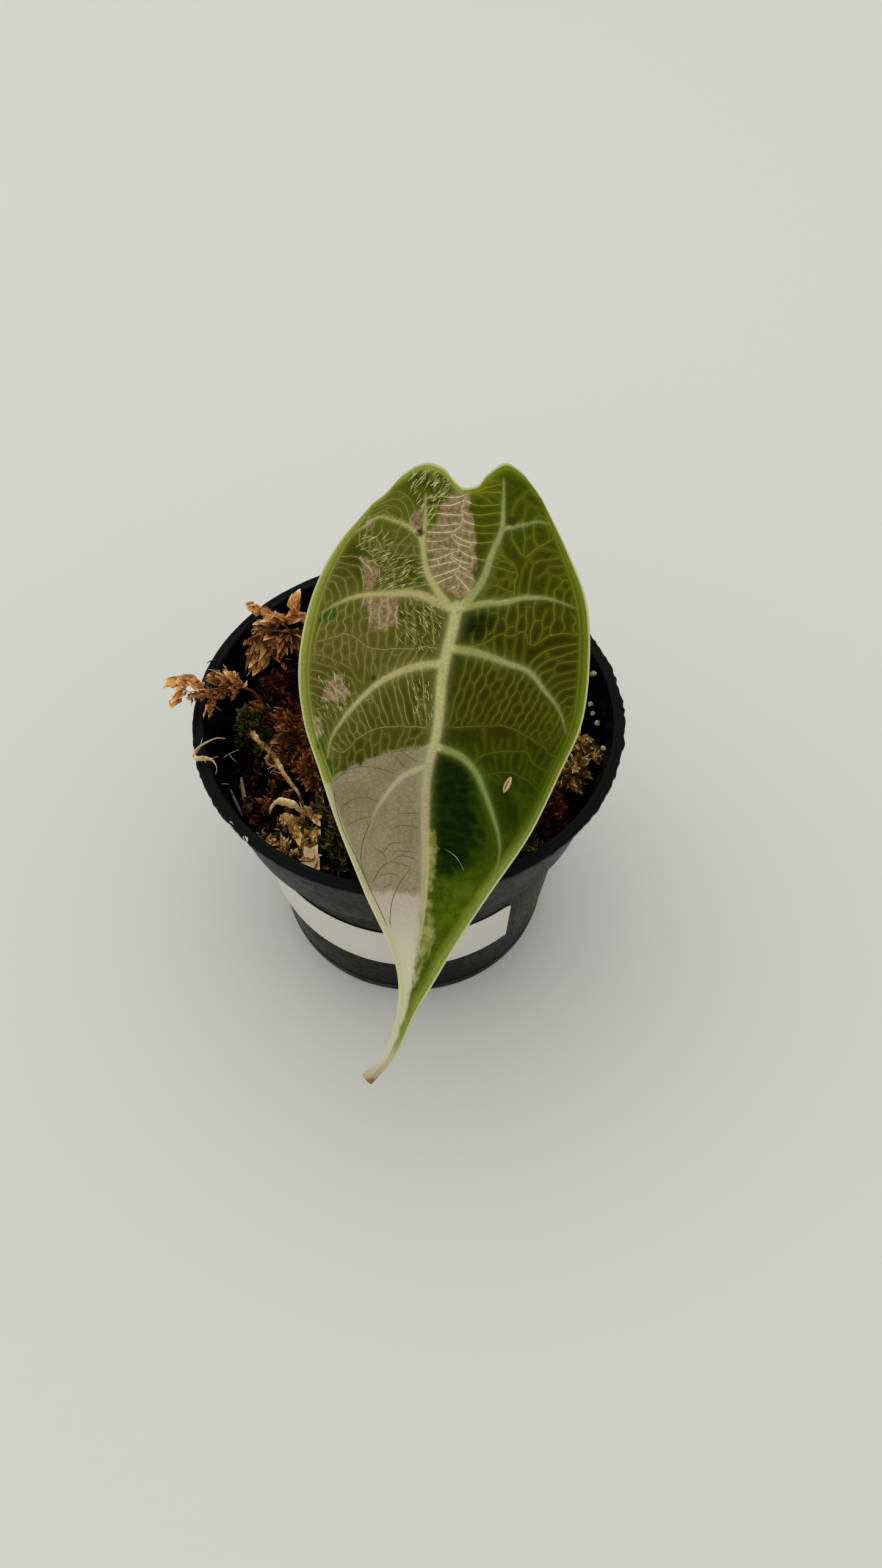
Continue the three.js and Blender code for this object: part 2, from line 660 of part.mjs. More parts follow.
const sprigs = [
  {
    name: "rim_moss_sprig", colour: 0xa9743a, seed: 1, foot: [-31, 9.6], overRim: true,
    path: [[-33.2, 8.4, 65], [-37, 5.6, 70.4], [-42, 3.4, 72.3], [-46.5, 2.4, 72.4]],
    blades: 15, length: 5.2, width: 3.2, lean: 0.9,
  },
  {
    name: "back_moss_tuft", colour: 0xb4703a, seed: 2, foot: [-23.5, 21],
    path: [[-25, 23.5, 63], [-27.5, 25, 70.5], [-31, 21.5, 71], [-33.5, 17.5, 65.5]],
    blades: 24, length: 6.6, width: 3, lean: 1.1,
  },
  { name: "brown_moss_tuft", colour: 0x8a5a28, seed: 3, foot: [-25.5, 2.5], path: [[-25.5, 2, 60.5]],
    blades: 12, length: 5.2, width: 2.6 },
  { name: "red_moss_tuft_left", colour: 0x6e2a18, seed: 4, foot: [-29, 15], path: [[-29.5, 14.5, 60]],
    blades: 9, length: 4.4, width: 2.2 },
  { name: "green_moss_tuft", colour: 0x2d3a1c, seed: 5, foot: [-35, 6.6], path: [[-35.4, 6.2, 59]],
    blades: 11, length: 3.2, width: 1.7, lean: 0.3 },
  { name: "rust_moss_tuft", colour: 0x7a3a1a, seed: 6, foot: [-19.5, -8.5], path: [[-20.2, -9.4, 60]],
    blades: 10, length: 4.8, width: 2.5 },
  { name: "pale_moss_sprig", colour: 0xc7a66a, seed: 7, foot: [-24, -22.6], path: [[-24.8, -24.6, 60]],
    blades: 10, length: 4, width: 2.6 },
  { name: "front_husk", colour: 0xb58a52, seed: 8, foot: [-19.2, -29.2], path: [[-20.6, -31.4, 60.5]],
    blades: 8, length: 4, width: 3 },
  { name: "front_green_sprig", colour: 0x5d5a24, seed: 9, foot: [-14, -25.4], path: [[-15.4, -26.4, 59.5]],
    blades: 9, length: 3.4, width: 1.9 },
  { name: "right_moss_tuft", colour: 0x9a7434, seed: 10, foot: [33, -10.5], path: [[34.6, -9.4, 59.5]],
    blades: 14, length: 4.8, width: 2.5 },
  { name: "right_moss_spike", colour: 0xa07a3a, seed: 11, foot: [33.5, -2.2],
    path: [[35.6, -2.6, 59.5], [39, -5.2, 61.3]], blades: 8, length: 3.6, width: 2, lean: 1 },
  { name: "red_moss_tuft_right", colour: 0x5c2416, seed: 12, foot: [27.5, -20.5], path: [[28, -20, 57.5]],
    blades: 9, length: 4.6, width: 2.4 },
  { name: "olive_moss_tuft", colour: 0x6a5c26, seed: 13, foot: [21.5, -27], path: [[22, -27.4, 57.5]],
    blades: 8, length: 4.2, width: 2.2 },
  { name: "moss_tuft_back", colour: 0x8f6030, seed: 14, foot: [-6, 31], path: [[-6.4, 31.4, 60]],
    blades: 8, length: 5, width: 2.7 },
  { name: "moss_tuft_back_right", colour: 0xa06a34, seed: 15, foot: [17, 28], path: [[17.5, 28.6, 60.5]],
    blades: 8, length: 5, width: 2.7 },
  { name: "moss_tuft_right", colour: 0x7c4c24, seed: 16, foot: [30, 13.5], path: [[30.8, 13.8, 59]],
    blades: 8, length: 4.8, width: 2.6 },
  { name: "moss_tuft_middle", colour: 0x86602c, seed: 17, foot: [14, 10], path: [[14.6, 10.4, 61]],
    blades: 8, length: 5, width: 2.7 },
  { name: "moss_tuft_front", colour: 0x70502a, seed: 18, foot: [1, -24], path: [[1, -24.6, 60]],
    blades: 8, length: 5, width: 2.7 },
  { name: "moss_tuft_inner", colour: 0x8b4e26, seed: 19, foot: [-12, 12.5], path: [[-12.6, 12.8, 60.5]],
    blades: 8, length: 4.8, width: 2.6 },
];

// Bare stems and strands

const strawStalk = {
  foot: [-23.4, -12.6],
  path: [[-25.6, -11, 58.8], [-29, -8, 63.2], [-32.6, -5.8, 67]],
};
const creamCurl = {
  foot: [-23.4, -15.6],
  path: [[-24, -16.6, 59.2], [-26.6, -17.2, 60.8], [-29.4, -17.8, 59.3], [-30.2, -17.4, 57]],
};
const wallStrand = {
  foot: [-33, -18.2],
  path: [[-33.8, -17, 59], [-35.4, -14, 62.5]],
};

// A bare stem in its hole in the bed; bulge thickens its middle.
function bareStem(stem, from, to, bulge) {
  const foot = footOf(stem);
  const neck = foot.clone().setZ(foot.z + FOOT_DEPTH + NECK_RISE / 2);
  const radiusAt = (along) => from + (to - from) * along + bulge * Math.sin(Math.PI * along) ** 2;
  return bar([foot, neck, ...stem.path.map(v3)], radiusAt, 12, 6);
}

// A dry root curled over the left of the rim, with both ends hanging inside.
function rimStrand() {
  const path = [
    [-37.6, -5, 66.2], [-40.4, -6.4, 68], [-43.4, -9, 68.8], [-44.4, -11, 68.9],
    [-43, -13.2, 68.8], [-40.2, -14.2, 68.5], [-38.4, -15.4, 66.4],
  ];
  return bar(path.map(v3), (along) => 0.36 + 0.16 * Math.sin(Math.PI * along), 16, 6);
}

// A dry flake held flat against the rim's outer edge, or leaning out from it.
function rimFlake(azimuth, length, height, lean) {
  const around = degrees(azimuth);
  const out = new THREE.Vector3(Math.cos(around), Math.sin(around), 0);
  const along = new THREE.Vector3(-Math.sin(around), Math.cos(around), 0);
  const drop = (length * length) / 8 / pot.rimRadius;
  const centre = out.clone().multiplyScalar(pot.rimRadius + GAP + 0.4 + drop);
  centre.z = pot.height - 0.5;
  const base = centre.clone().addScaledVector(along, -length / 2);
  const tip = centre.clone().addScaledVector(along, length / 2).addScaledVector(out, lean);
  const facing = out.clone().setZ(0.25);
  return mossBlade(base, tip, height, 0.7, facing, (point) => point);
}

// Perlite: small angular grains, on the bed or held by damp to the wall.
function perliteGrain(seed, size) {
  const random = randomDraw(seed);
  const grain = new THREE.IcosahedronGeometry(size, 0);
  grain.scale(1, 0.75 + 0.2 * random(), 0.7 + 0.2 * random());
  grain.rotateZ(6 * random());
  return grain;
}

function perliteOnBed(seed, x, y, size) {
  const grain = perliteGrain(seed, size);
  grain.translate(x, y, 0);
  const corner = new THREE.Vector3();
  let lift = -Infinity;
  for (let i = 0; i < grain.attributes.position.count; i++) {
    corner.fromBufferAttribute(grain.attributes.position, i);
    lift = Math.max(lift, bedTop(corner.x, corner.y) + GAP - corner.z);
  }
  return solid(grain.translate(0, 0, lift));
}

function perliteOnWall(seed, azimuth, z, size) {
  const grain = perliteGrain(seed, size);
  const slope = 0.2; // the wall leans out by a fifth of a millimetre for each one up
  const r = innerRadius(z) - GAP - size * (1 + slope);
  grain.translate(r * Math.cos(degrees(azimuth)), r * Math.sin(degrees(azimuth)), z);
  return solid(grain);
}

// The scene graph

const root = new THREE.Group();

function add(name, made, colour, roughness) {
  const material = new THREE.MeshStandardMaterial({ color: colour, roughness, metalness: 0 });
  const mesh = new THREE.Mesh(geometryOf(made), material);
  mesh.name = name;
  root.add(mesh);
}

const stalkHoleAt = (z) => new THREE.Vector3(rhizome.x, rhizome.y, z);
const stalkHole = bar(
  [stalkHoleAt(rhizome.topZ - 1), stalkHoleAt(bed.middleZ + 6)],
  () => stalkHoleRadius,
  1,
  12,
);
const bareStems = [strawStalk, creamCurl, wallStrand];
const bedCuts = [rhizomeAndRoots(bed.gap), stalkHole];
bedCuts.push(...sprigs.map((sprig) => stemHole(sprig, SPRIG_STEM + 2 * GAP)));
bedCuts.push(...bareStems.map((stem) => stemHole(stem, BARE_STEM_HOLE)));

add("nursery_pot", nurseryPot(), 0x17191a, 0.45);
add("pot_label", potLabel(), 0xe8e8e4, 0.55);
add("moss_bed", mossBed(bedCuts), 0x2e1d12, 0.95);
add("rhizome_and_roots", rhizomeAndRoots(0), 0xb79a6c, 0.8);
add("leaf_stalk", leafStalk(), 0x9aa86a, 0.5);
add("leaf_blade", leafBlade(), 0x6f8a34, 0.5);
add("leaf_husk", leafHusk(), 0xcfc48a, 0.6);
for (const sprig of sprigs) add(sprig.name, mossSprig(sprig), sprig.colour, 0.9);
add("straw_stalk", bareStem(strawStalk, 0.7, 0.8, 0), 0xb89a5e, 0.8);
add("cream_moss_curl", bareStem(creamCurl, 0.7, 0.5, 0.6), 0xd9bf8c, 0.85);
add("wall_strand", bareStem(wallStrand, 0.45, 0.4, 0), 0x8f949a, 0.6);
add("rim_root_strand", rimStrand(), 0xc8b78c, 0.8);
add("rim_flake_left", rimFlake(160, 3.2, 1.9, 0.5), 0xc9cbb8, 0.6);
add("rim_flake_front", rimFlake(-142.5, 4.6, 1.5, 0.2), 0xc9c2a8, 0.6);
add("rim_flake_hook", rimFlake(-137.6, 2.2, 1.5, 0.6), 0xb9ad8a, 0.6);
add("perlite_1", perliteOnBed(31, -37.6, 9.4, 0.85), 0xd4d6c8, 0.9);
add("perlite_2", perliteOnBed(32, 34.5, 5.5, 0.7), 0xa8843c, 0.9);
add("perlite_3", perliteOnBed(33, 6, 35, 0.8), 0xcfd0c4, 0.9);
const wallGrains = [
  [13.2, 66.6, 0.85], [8.2, 60.8, 0.75], [5, 60.3, 0.7], [-0.5, 61.7, 0.75], [-15, 66.4, 0.7],
];
wallGrains.forEach(([azimuth, z, size], i) => {
  add(`perlite_wall_${i + 1}`, perliteOnWall(41 + i, azimuth, z, size), 0xcfd0c4, 0.9);
});

export default root;
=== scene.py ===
"""The looks of a young variegated alocasia in a round nursery pot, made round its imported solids.

Shapes are worked out in millimetres as whole numpy arrays, on grids of two parameters or along paths,
and put into meshes in metres, each in its place with its object at the origin.
"""
import math
from types import SimpleNamespace

import bmesh
import bpy
import numpy as np
from mathutils import Matrix, Vector


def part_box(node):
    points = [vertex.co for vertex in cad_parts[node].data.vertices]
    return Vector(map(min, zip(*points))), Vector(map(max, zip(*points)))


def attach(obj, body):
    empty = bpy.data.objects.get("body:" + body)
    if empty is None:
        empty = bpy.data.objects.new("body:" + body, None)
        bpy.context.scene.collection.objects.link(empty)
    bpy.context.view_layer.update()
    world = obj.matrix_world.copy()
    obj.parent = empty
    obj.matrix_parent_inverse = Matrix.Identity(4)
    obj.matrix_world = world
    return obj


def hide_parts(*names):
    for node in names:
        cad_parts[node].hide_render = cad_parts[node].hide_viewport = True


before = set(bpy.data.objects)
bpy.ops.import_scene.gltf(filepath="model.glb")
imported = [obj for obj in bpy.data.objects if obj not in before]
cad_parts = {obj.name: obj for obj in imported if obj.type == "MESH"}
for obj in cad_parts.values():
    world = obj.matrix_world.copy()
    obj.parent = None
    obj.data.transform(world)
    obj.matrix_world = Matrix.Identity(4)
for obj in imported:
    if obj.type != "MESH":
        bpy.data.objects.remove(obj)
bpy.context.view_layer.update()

MM = 0.001
FAR = 1e9

# Pot, label and bed

POT = dict(
    sectors=384, height=67.8, base_radius=31.7, body_radius=36.6, step_z=47.2, collar_foot=39.7,
    collar_top=43.5, rim_radius=45.0, rim_thickness=1.2, rim_width=2.4, wall=0.9,
    holes=8, hole_radius=3.2, hole_circle=24.5, oval=0.12,
)
# Places round the rim where its trimmed edge is worn, as (azimuth, spread, strength).
RIM_WEAR = [(0.05, 0.75, 1.0), (6.1, 0.6, 1.0), (3.65, 0.4, 0.8)]
RIM_TEETH = dict(everywhere=0.25, out=0.24, up=0.1)
LABEL = dict(
    width=17.6, thickness=0.35, corner=1.7, clearance=0.12, low_z=17.1, middle=-85.0, left=-158.0,
    right=-52.0)
BED = dict(middle_z=55.5, wall_z=52.5, foot_z=1.3, lump=2.6, clearance=0.15, sunk=1.6, sectors=220, rings=64)
BED_WAVES = [(4.0, 0.5), (2.3, 0.42), (1.4, 0.3), (0.9, 0.18)]  # wavelength and height

# Leaf

HEART = np.array([9.0, -12.9, 110.0])
FACE_TILT = 46.2
FACE_TURN = -93.6
BLADE_ROLL = 2.0
BLADE_ROWS = np.array([
    [[-14.8, 18.7], [1.1, 21.0], [14.7, 19.1]],
    [[-21.5, 11.0], [0.6, 10.6], [19.5, 10.0]],
    [[-26.0, 2.2], [-0.3, -0.1], [22.7, 1.6]],
    [[-28.3, -9.3], [-2.6, -10.3], [23.5, -8.8]],
    [[-27.7, -19.5], [-3.6, -20.5], [22.4, -19.2]],
    [[-24.9, -28.6], [-5.5, -28.8], [18.8, -28.2]],
    [[-21.6, -39.7], [-5.9, -38.4], [13.6, -39.6]],
    [[-17.3, -51.0], [-6.0, -48.2], [6.4, -50.6]],
    [[-12.9, -61.3], [-7.2, -60.1], [-0.2, -61.3]],
    [[-11.2, -69.1], [-8.7, -69.4], [-4.8, -69.4]],
    [[-12.1, -77.5], [-10.5, -76.6], [-8.3, -75.7]],
    [[-15.1, -85.0], [-13.5, -84.2], [-11.9, -84.3]],
    [[-18.5, -88.3], [-17.7, -89.5], [-16.8, -90.6]],
])
BLADE_TOP = np.array([
    [-14.8, 18.7], [-12.2, 20.6], [-9.4, 23.5], [-5.7, 25.4], [-2.5, 24.6], [-0.5, 22.4], [1.1, 21.2],
    [3.5, 21.6], [5.1, 23.4], [8.1, 25.3], [10.7, 24.1], [12.9, 21.7], [14.7, 19.1],
])
LOBE_REACH = 3.0
BLADE_BEND = 0.0011
BLADE_CREST = 5.0
BLADE_DROOP = 0.11
MARGIN_WAVE = 0.5
MARGIN_WAVE_ROWS = 2.3
CREASE = dict(from_row=7.2, to_row=9.8, from_across=0.45, to_across=0.66, width=0.2, depth=0.7)
BLADE_THICKNESS = 0.5
RIB_HEIGHT = 0.26
RIB_DEPTH = 1.1
QUILT_HEIGHT = 0.09
UPPER_GRID = (380, 200)  # cells along and across the upper face; the under face has half as many each way

# Main veins: half width at each end in millimetres, then [row, across] places along each.
MIDRIB = dict(width=(1.2, 0.4), at=[
    (1.9, 0.0), (3.0, 0.0), (4.5, 0.0), (6.0, 0.0), (7.5, 0.0), (9.0, 0.0), (10.5, 0.0), (11.7, 0.0)])
MAIN_VEINS = dict(
    left_basal=dict(width=(0.95, 0.2), at=[
        (1.93, -0.05), (1.5, -0.23), (1.14, -0.31), (0.76, -0.35), (0.4, -0.41)]),
    left_basal_fork=dict(width=(0.5, 0.2), at=[
        (1.14, -0.31), (0.96, -0.38), (0.79, -0.56), (0.6, -0.75), (0.7, -0.9)]),
    left_upper=dict(width=(1.05, 0.16), at=[
        (1.93, -0.04), (1.81, -0.27), (1.86, -0.47), (1.91, -0.66), (2.02, -0.79), (2.2, -0.9)]),
    left_middle=dict(width=(0.9, 0.16), at=[
        (2.86, -0.02), (2.96, -0.22), (3.18, -0.4), (3.5, -0.55), (3.86, -0.68), (4.3, -0.81),
        (4.7, -0.88)]),
    left_lower=dict(width=(0.75, 0.12), at=[
        (4.8, -0.01), (5.0, -0.2), (5.18, -0.3), (5.39, -0.4), (5.58, -0.49), (5.83, -0.59), (6.1, -0.68)]),
    right_basal=dict(width=(1.0, 0.2), at=[
        (1.93, 0.04), (1.53, 0.19), (1.16, 0.28), (0.85, 0.39), (0.54, 0.43), (0.2, 0.47)]),
    right_basal_fork=dict(width=(0.45, 0.2), at=[
        (0.85, 0.39), (0.81, 0.57), (0.66, 0.75), (0.55, 0.9)]),
    right_upper=dict(width=(0.85, 0.15), at=[
        (1.93, 0.03), (1.9, 0.21), (1.93, 0.38), (1.9, 0.54), (1.95, 0.74), (2.1, 0.91)]),
    right_middle=dict(width=(0.95, 0.15), at=[
        (2.6, 0.02), (2.73, 0.23), (2.91, 0.41), (3.09, 0.58), (3.43, 0.7), (3.76, 0.81), (4.25, 0.91)]),
    right_lower=dict(width=(0.85, 0.15), at=[
        (4.36, 0.02), (4.61, 0.21), (4.98, 0.36), (5.34, 0.46), (5.8, 0.6), (6.31, 0.78), (6.7, 0.88)]),
)
MARGIN_VEIN_INSET = 1.9
MARGIN_VEIN_LEAST = 3.2  # the blade's half width counts as no less than this
# The net between two routes: how far its columns kink and stray, how many start late, and its links' bow.
NET = dict(
    kink=0.1, stray_along=0.13, stray_across=0.24, late=0.14, bow=(0.016, 0.007), glow=0.26, spread=0.4)
FINE_WIDTH = 0.11  # half widths of the lines laid on the blade
DARK_WIDTH = 0.1
LINE_STEP = 0.3
LINE_SUNK = 0.015
LINE_HEIGHT = 0.03

# Loops that tie the fine veins of each panel together, as [row, across] places.
LOOPS = dict(
    pink_middle=[
        (0.04, 0.08), (0.26, 0.0), (0.47, -0.01), (0.65, -0.01), (0.79, -0.11), (0.97, -0.01),
        (1.12, -0.1), (1.19, -0.05), (1.27, 0.01), (1.39, -0.04), (1.57, 0.0), (1.68, -0.02)],
    left_lobe_outer=[(0.92, -0.83), (1.12, -0.74), (1.26, -0.66), (1.5, -0.58), (1.8, -0.53)],
    left_lobe_inner=[(0.95, -0.68), (1.23, -0.58), (1.43, -0.51), (1.58, -0.47), (1.84, -0.45)],
    left_upper=[
        (2.62, -0.07), (2.61, -0.18), (2.66, -0.28), (2.68, -0.38), (2.67, -0.5), (2.58, -0.6),
        (2.49, -0.69), (2.57, -0.82), (2.63, -0.92)],
    left_middle=[
        (4.0, -0.07), (3.97, -0.23), (4.02, -0.4), (4.17, -0.55), (4.47, -0.68), (4.59, -0.77),
        (4.36, -0.82)],
    sector_top=[(4.42, -0.12), (4.43, -0.24), (4.63, -0.42), (4.81, -0.53), (4.96, -0.77), (5.14, -0.91)],
    right_lobe_inner=[(1.15, 0.32), (1.3, 0.42), (1.5, 0.48), (1.62, 0.45), (1.86, 0.44)],
    right_lobe_outer=[(0.98, 0.45), (1.26, 0.54), (1.24, 0.59), (0.98, 0.75), (0.78, 0.91)],
    right_upper=[
        (2.6, 0.12), (2.59, 0.21), (2.49, 0.31), (2.44, 0.36), (2.51, 0.44), (2.4, 0.51), (2.66, 0.57),
        (2.59, 0.65), (2.49, 0.75), (2.52, 0.93)],
    right_middle=[
        (3.97, 0.06), (3.98, 0.26), (3.97, 0.4), (4.02, 0.47), (4.1, 0.54), (4.22, 0.63), (4.39, 0.72),
        (4.62, 0.84), (4.81, 0.94)],
    right_low=[
        (4.75, 0.32), (4.58, 0.38), (4.56, 0.52), (4.59, 0.68), (4.8, 0.73), (4.92, 0.83), (5.06, 0.92)],
    right_fork=[(5.05, 0.41), (4.98, 0.52), (5.02, 0.64), (5.15, 0.77), (5.37, 0.9)],
    right_last=[(6.5, 0.1), (6.53, 0.14), (6.62, 0.27), (6.89, 0.49)],
)

# Dark thin veins that show where the blade has lost its green.
DARK_VEINS = [
    [(5.18, -0.91), (5.03, -0.8), (4.89, -0.68), (4.85, -0.56), (4.88, -0.43), (4.98, -0.28)],
    [(5.61, -0.89), (5.5, -0.8), (5.43, -0.7), (5.42, -0.6), (5.49, -0.47)],
    [(5.92, -0.9), (5.83, -0.8), (5.78, -0.7), (5.76, -0.6)],
    [(5.75, -0.55), (6.0, -0.68), (6.24, -0.78), (6.48, -0.86), (6.72, -0.89)],
    [(6.88, -0.81), (6.73, -0.7), (6.62, -0.6), (6.58, -0.52), (6.57, -0.44), (6.65, -0.32), (6.71, -0.21)],
    [(6.39, -0.53), (6.29, -0.47), (6.24, -0.41), (6.24, -0.3)],
    [(6.3, -0.64), (6.35, -0.58), (6.42, -0.54), (6.51, -0.53)],
    [(6.47, -0.44), (6.39, -0.38), (6.42, -0.22), (6.47, -0.12)],
    [(6.55, -0.43), (6.5, -0.38), (6.49, -0.3), (6.53, -0.2), (6.62, -0.13)],
    [(5.97, -0.35), (5.93, -0.29), (5.95, -0.17), (6.01, -0.06)],
    [(5.72, -0.26), (5.71, -0.19), (5.72, -0.06)],
    [(7.68, -0.78), (7.39, -0.66), (7.18, -0.55), (7.01, -0.43), (6.84, -0.3), (6.75, -0.21)],
    [(6.77, -0.67), (6.77, -0.51), (6.83, -0.4)],
    [(7.01, -0.69), (6.96, -0.6), (6.97, -0.5)],
    [(4.59, -0.3), (4.73, -0.25), (4.83, -0.2)],
    [(4.47, -0.26), (4.59, -0.19), (4.72, -0.1)],
    [(5.3, -0.91), (5.65, -0.94), (6.05, -0.94), (6.42, -0.91), (6.97, -0.88), (7.32, -0.85), (7.65, -0.83)],
]

# Colour regions of the blade, as outlines across and up from the heart, in millimetres.
PINK_REGIONS = [
    [(0.2, 21.2), (2.1, 21.4), (2.2, 18.8), (2.6, 15.5), (2.6, 13.0), (3.2, 10.5), (3.3, 7.2), (2.4, 4.5),
     (1.5, 2.4), (-1.8, 3.4), (-3.5, 4.9), (-4.6, 7.2), (-5.0, 10.4), (-5.4, 13.0), (-3.9, 15.5),
     (-2.6, 18.0), (-1.1, 19.9)],
    [(-16.8, 9.5), (-15.5, 9.5), (-14.5, 8.4), (-13.4, 7.1), (-13.5, 5.8), (-14.8, 3.9), (-16.0, 4.1),
     (-16.5, 7.1)],
    [(-16.3, 2.6), (-9.7, 2.8), (-10.1, 0.8), (-10.5, -2.3), (-13.1, -3.2), (-15.1, -2.4), (-16.0, -0.8)],
    [(-23.2, -12.0), (-21.2, -11.1), (-18.9, -14.1), (-20.0, -15.4), (-24.0, -15.4)],
    [(-25.9, -18.5), (-24.2, -18.4), (-24.6, -22.3), (-25.7, -22.4)],
    [(-16.2, 14.6), (-15.2, 16.3), (-14.4, 16.0), (-15.2, 14.4)],
    [(-8.0, 15.4), (-7.2, 17.4), (-6.3, 17.0), (-6.6, 14.4), (-7.5, 14.2)],
    [(-6.9, -16.6), (-6.2, -15.9), (-5.7, -16.6), (-6.4, -17.3)],
]
# Patches of short pale dashes: the outline, the way the dashes run and how many there are. The first
# four lie on darker ground.
FLECKS_ON_DARK = 4
FLECK_TRIES = 60000
FLECK_SPAN = dict(low=(0, -1), high=(4.5, 0.1))  # [row, across] between which the dashes are tried
FLECK_REGIONS = [
    ([(-10.3, 2.4), (-2.7, 2.3), (-2.7, -5.7), (-6.4, -7.7), (-11.1, -4.8)], (0.75, -0.65), 110),
    ([(-14.3, 7.8), (-4.8, 9.7), (-5.3, 3.9), (-14.3, 4.0)], (0.8, 0.5), 76),
    ([(-8.2, 24.4), (-3.0, 24.6), (-0.5, 22.1), (-3.6, 15.5), (-5.9, 14.6), (-7.4, 19.0)], (0.45, 0.9), 125),
    ([(-8.8, -11.9), (-3.9, -11.9), (-4.0, -18.6), (-7.5, -18.7)], (0.3, -0.9), 46),
    ([(-18.5, 13.4), (-11.0, 13.8), (-8.4, 8.9), (-15.3, 7.4)], (0.9, 0.35), 46),
    ([(-25.0, -9.0), (-19.0, -10.0), (-18.0, -17.0), (-25.6, -20.0)], (0.3, -0.9), 60),
]
GREEN_REGIONS = [
    [(-24.4, -20.9), (-23.2, -20.8), (-23.0, -22.3), (-23.4, -25.4), (-21.6, -27.6), (-22.1, -29.0),
     (-22.8, -29.8), (-23.6, -27.2), (-25.1, -24.3), (-25.5, -22.4)],
    [(-24.2, -0.1), (-23.0, 0.8), (-21.3, 0.9), (-21.3, -0.9), (-22.5, -1.5), (-24.2, -1.5)],
]
# Patches just right of the midrib, painted very dark green as shade where the blade's right half falls away
# from it.
MIDRIB_SHADE_REGIONS = [
    [(1.0, -1.8), (2.6, -0.2), (5.8, 0.0), (5.8, -2.8), (3.2, -4.5), (1.3, -3.9)],
    [(-4.4, -24.8), (1.4, -25.6), (2.6, -31.0), (3.4, -37.0), (3.6, -41.0), (1.8, -44.6), (-1.4, -47.6),
     (-3.9, -46.2)],
]
MIDRIB_STRIP = [
    (-4.6, -38.5), (-3.7, -39.4), (-3.8, -42.2), (-4.6, -43.6), (-4.0, -44.9), (-4.1, -46.8), (-4.6, -49.1),
    (-5.3, -51.3), (-4.8, -52.9), (-5.1, -54.8), (-4.7, -56.7), (-4.6, -60.2), (-5.5, -62.5), (-6.7, -66.3),
    (-8.4, -69.4), (-7.2, -60.1), (-6.4, -52.0), (-6.0, -45.0), (-5.9, -38.0)]
PALE_SECTOR_TOP = [
    (-30.0, -31.5), (-22.8, -30.1), (-21.2, -28.6), (-19.4, -27.5), (-17.2, -26.7), (-15.4, -26.1),
    (-13.3, -25.0), (-11.0, -24.3), (-9.4, -24.1), (-6.8, -23.7), (-4.2, -23.0)]
LIGHT_LINE_Y = -51.0
# Small dark spots where veins part, as (across, up, radius), and short bright scratches, each with its
# strength and places.
DARK_SPOTS = [(-6.4, 13.6, 1.1), (9.4, 15.5, 1.3), (-14.8, -11.4, 0.7), (15.4, 9.6, 0.6)]
SCRATCHES = [
    (0.8, [(-16.5, -15.5), (-15.7, -15.1), (-14.9, -14.9)]),
    (0.8, [(-25.3, -16.9), (-24.9, -16.9), (-24.5, -17.0)]),
    (0.8, [(4.8, 1.8), (6.8, 1.7), (9.0, 2.1)]),
    (0.8, [(-0.7, -0.9), (0.0, -0.1), (0.9, 0.5)]),
    (0.35, [(-2.4, -42.4), (-0.4, -43.8), (1.1, -46.5)]),
]

# Stalk

STALK_PATH = np.array([[1.7, 3.4, 52.6], [2.2, 3.2, 62.0], [3.6, 1.6, 78.0], [6.2, -3.2, 94.0]])
STALK_TOP_DIRECTION = np.array([0.06, -0.55, 0.83])
STALK = dict(
    foot_radius=2.5, radius=1.75, thin_by=0.45, top_swell=0.35, sheath=1.3, sheath_to=0.36, groove=0.25,
    sides=28, steps=160)

# Moss: each sprig's slot, foot and the way its stem goes, then its branches' number, length, thickness,
# lean away from the stem (radians) and the share of the stem that stays bare.

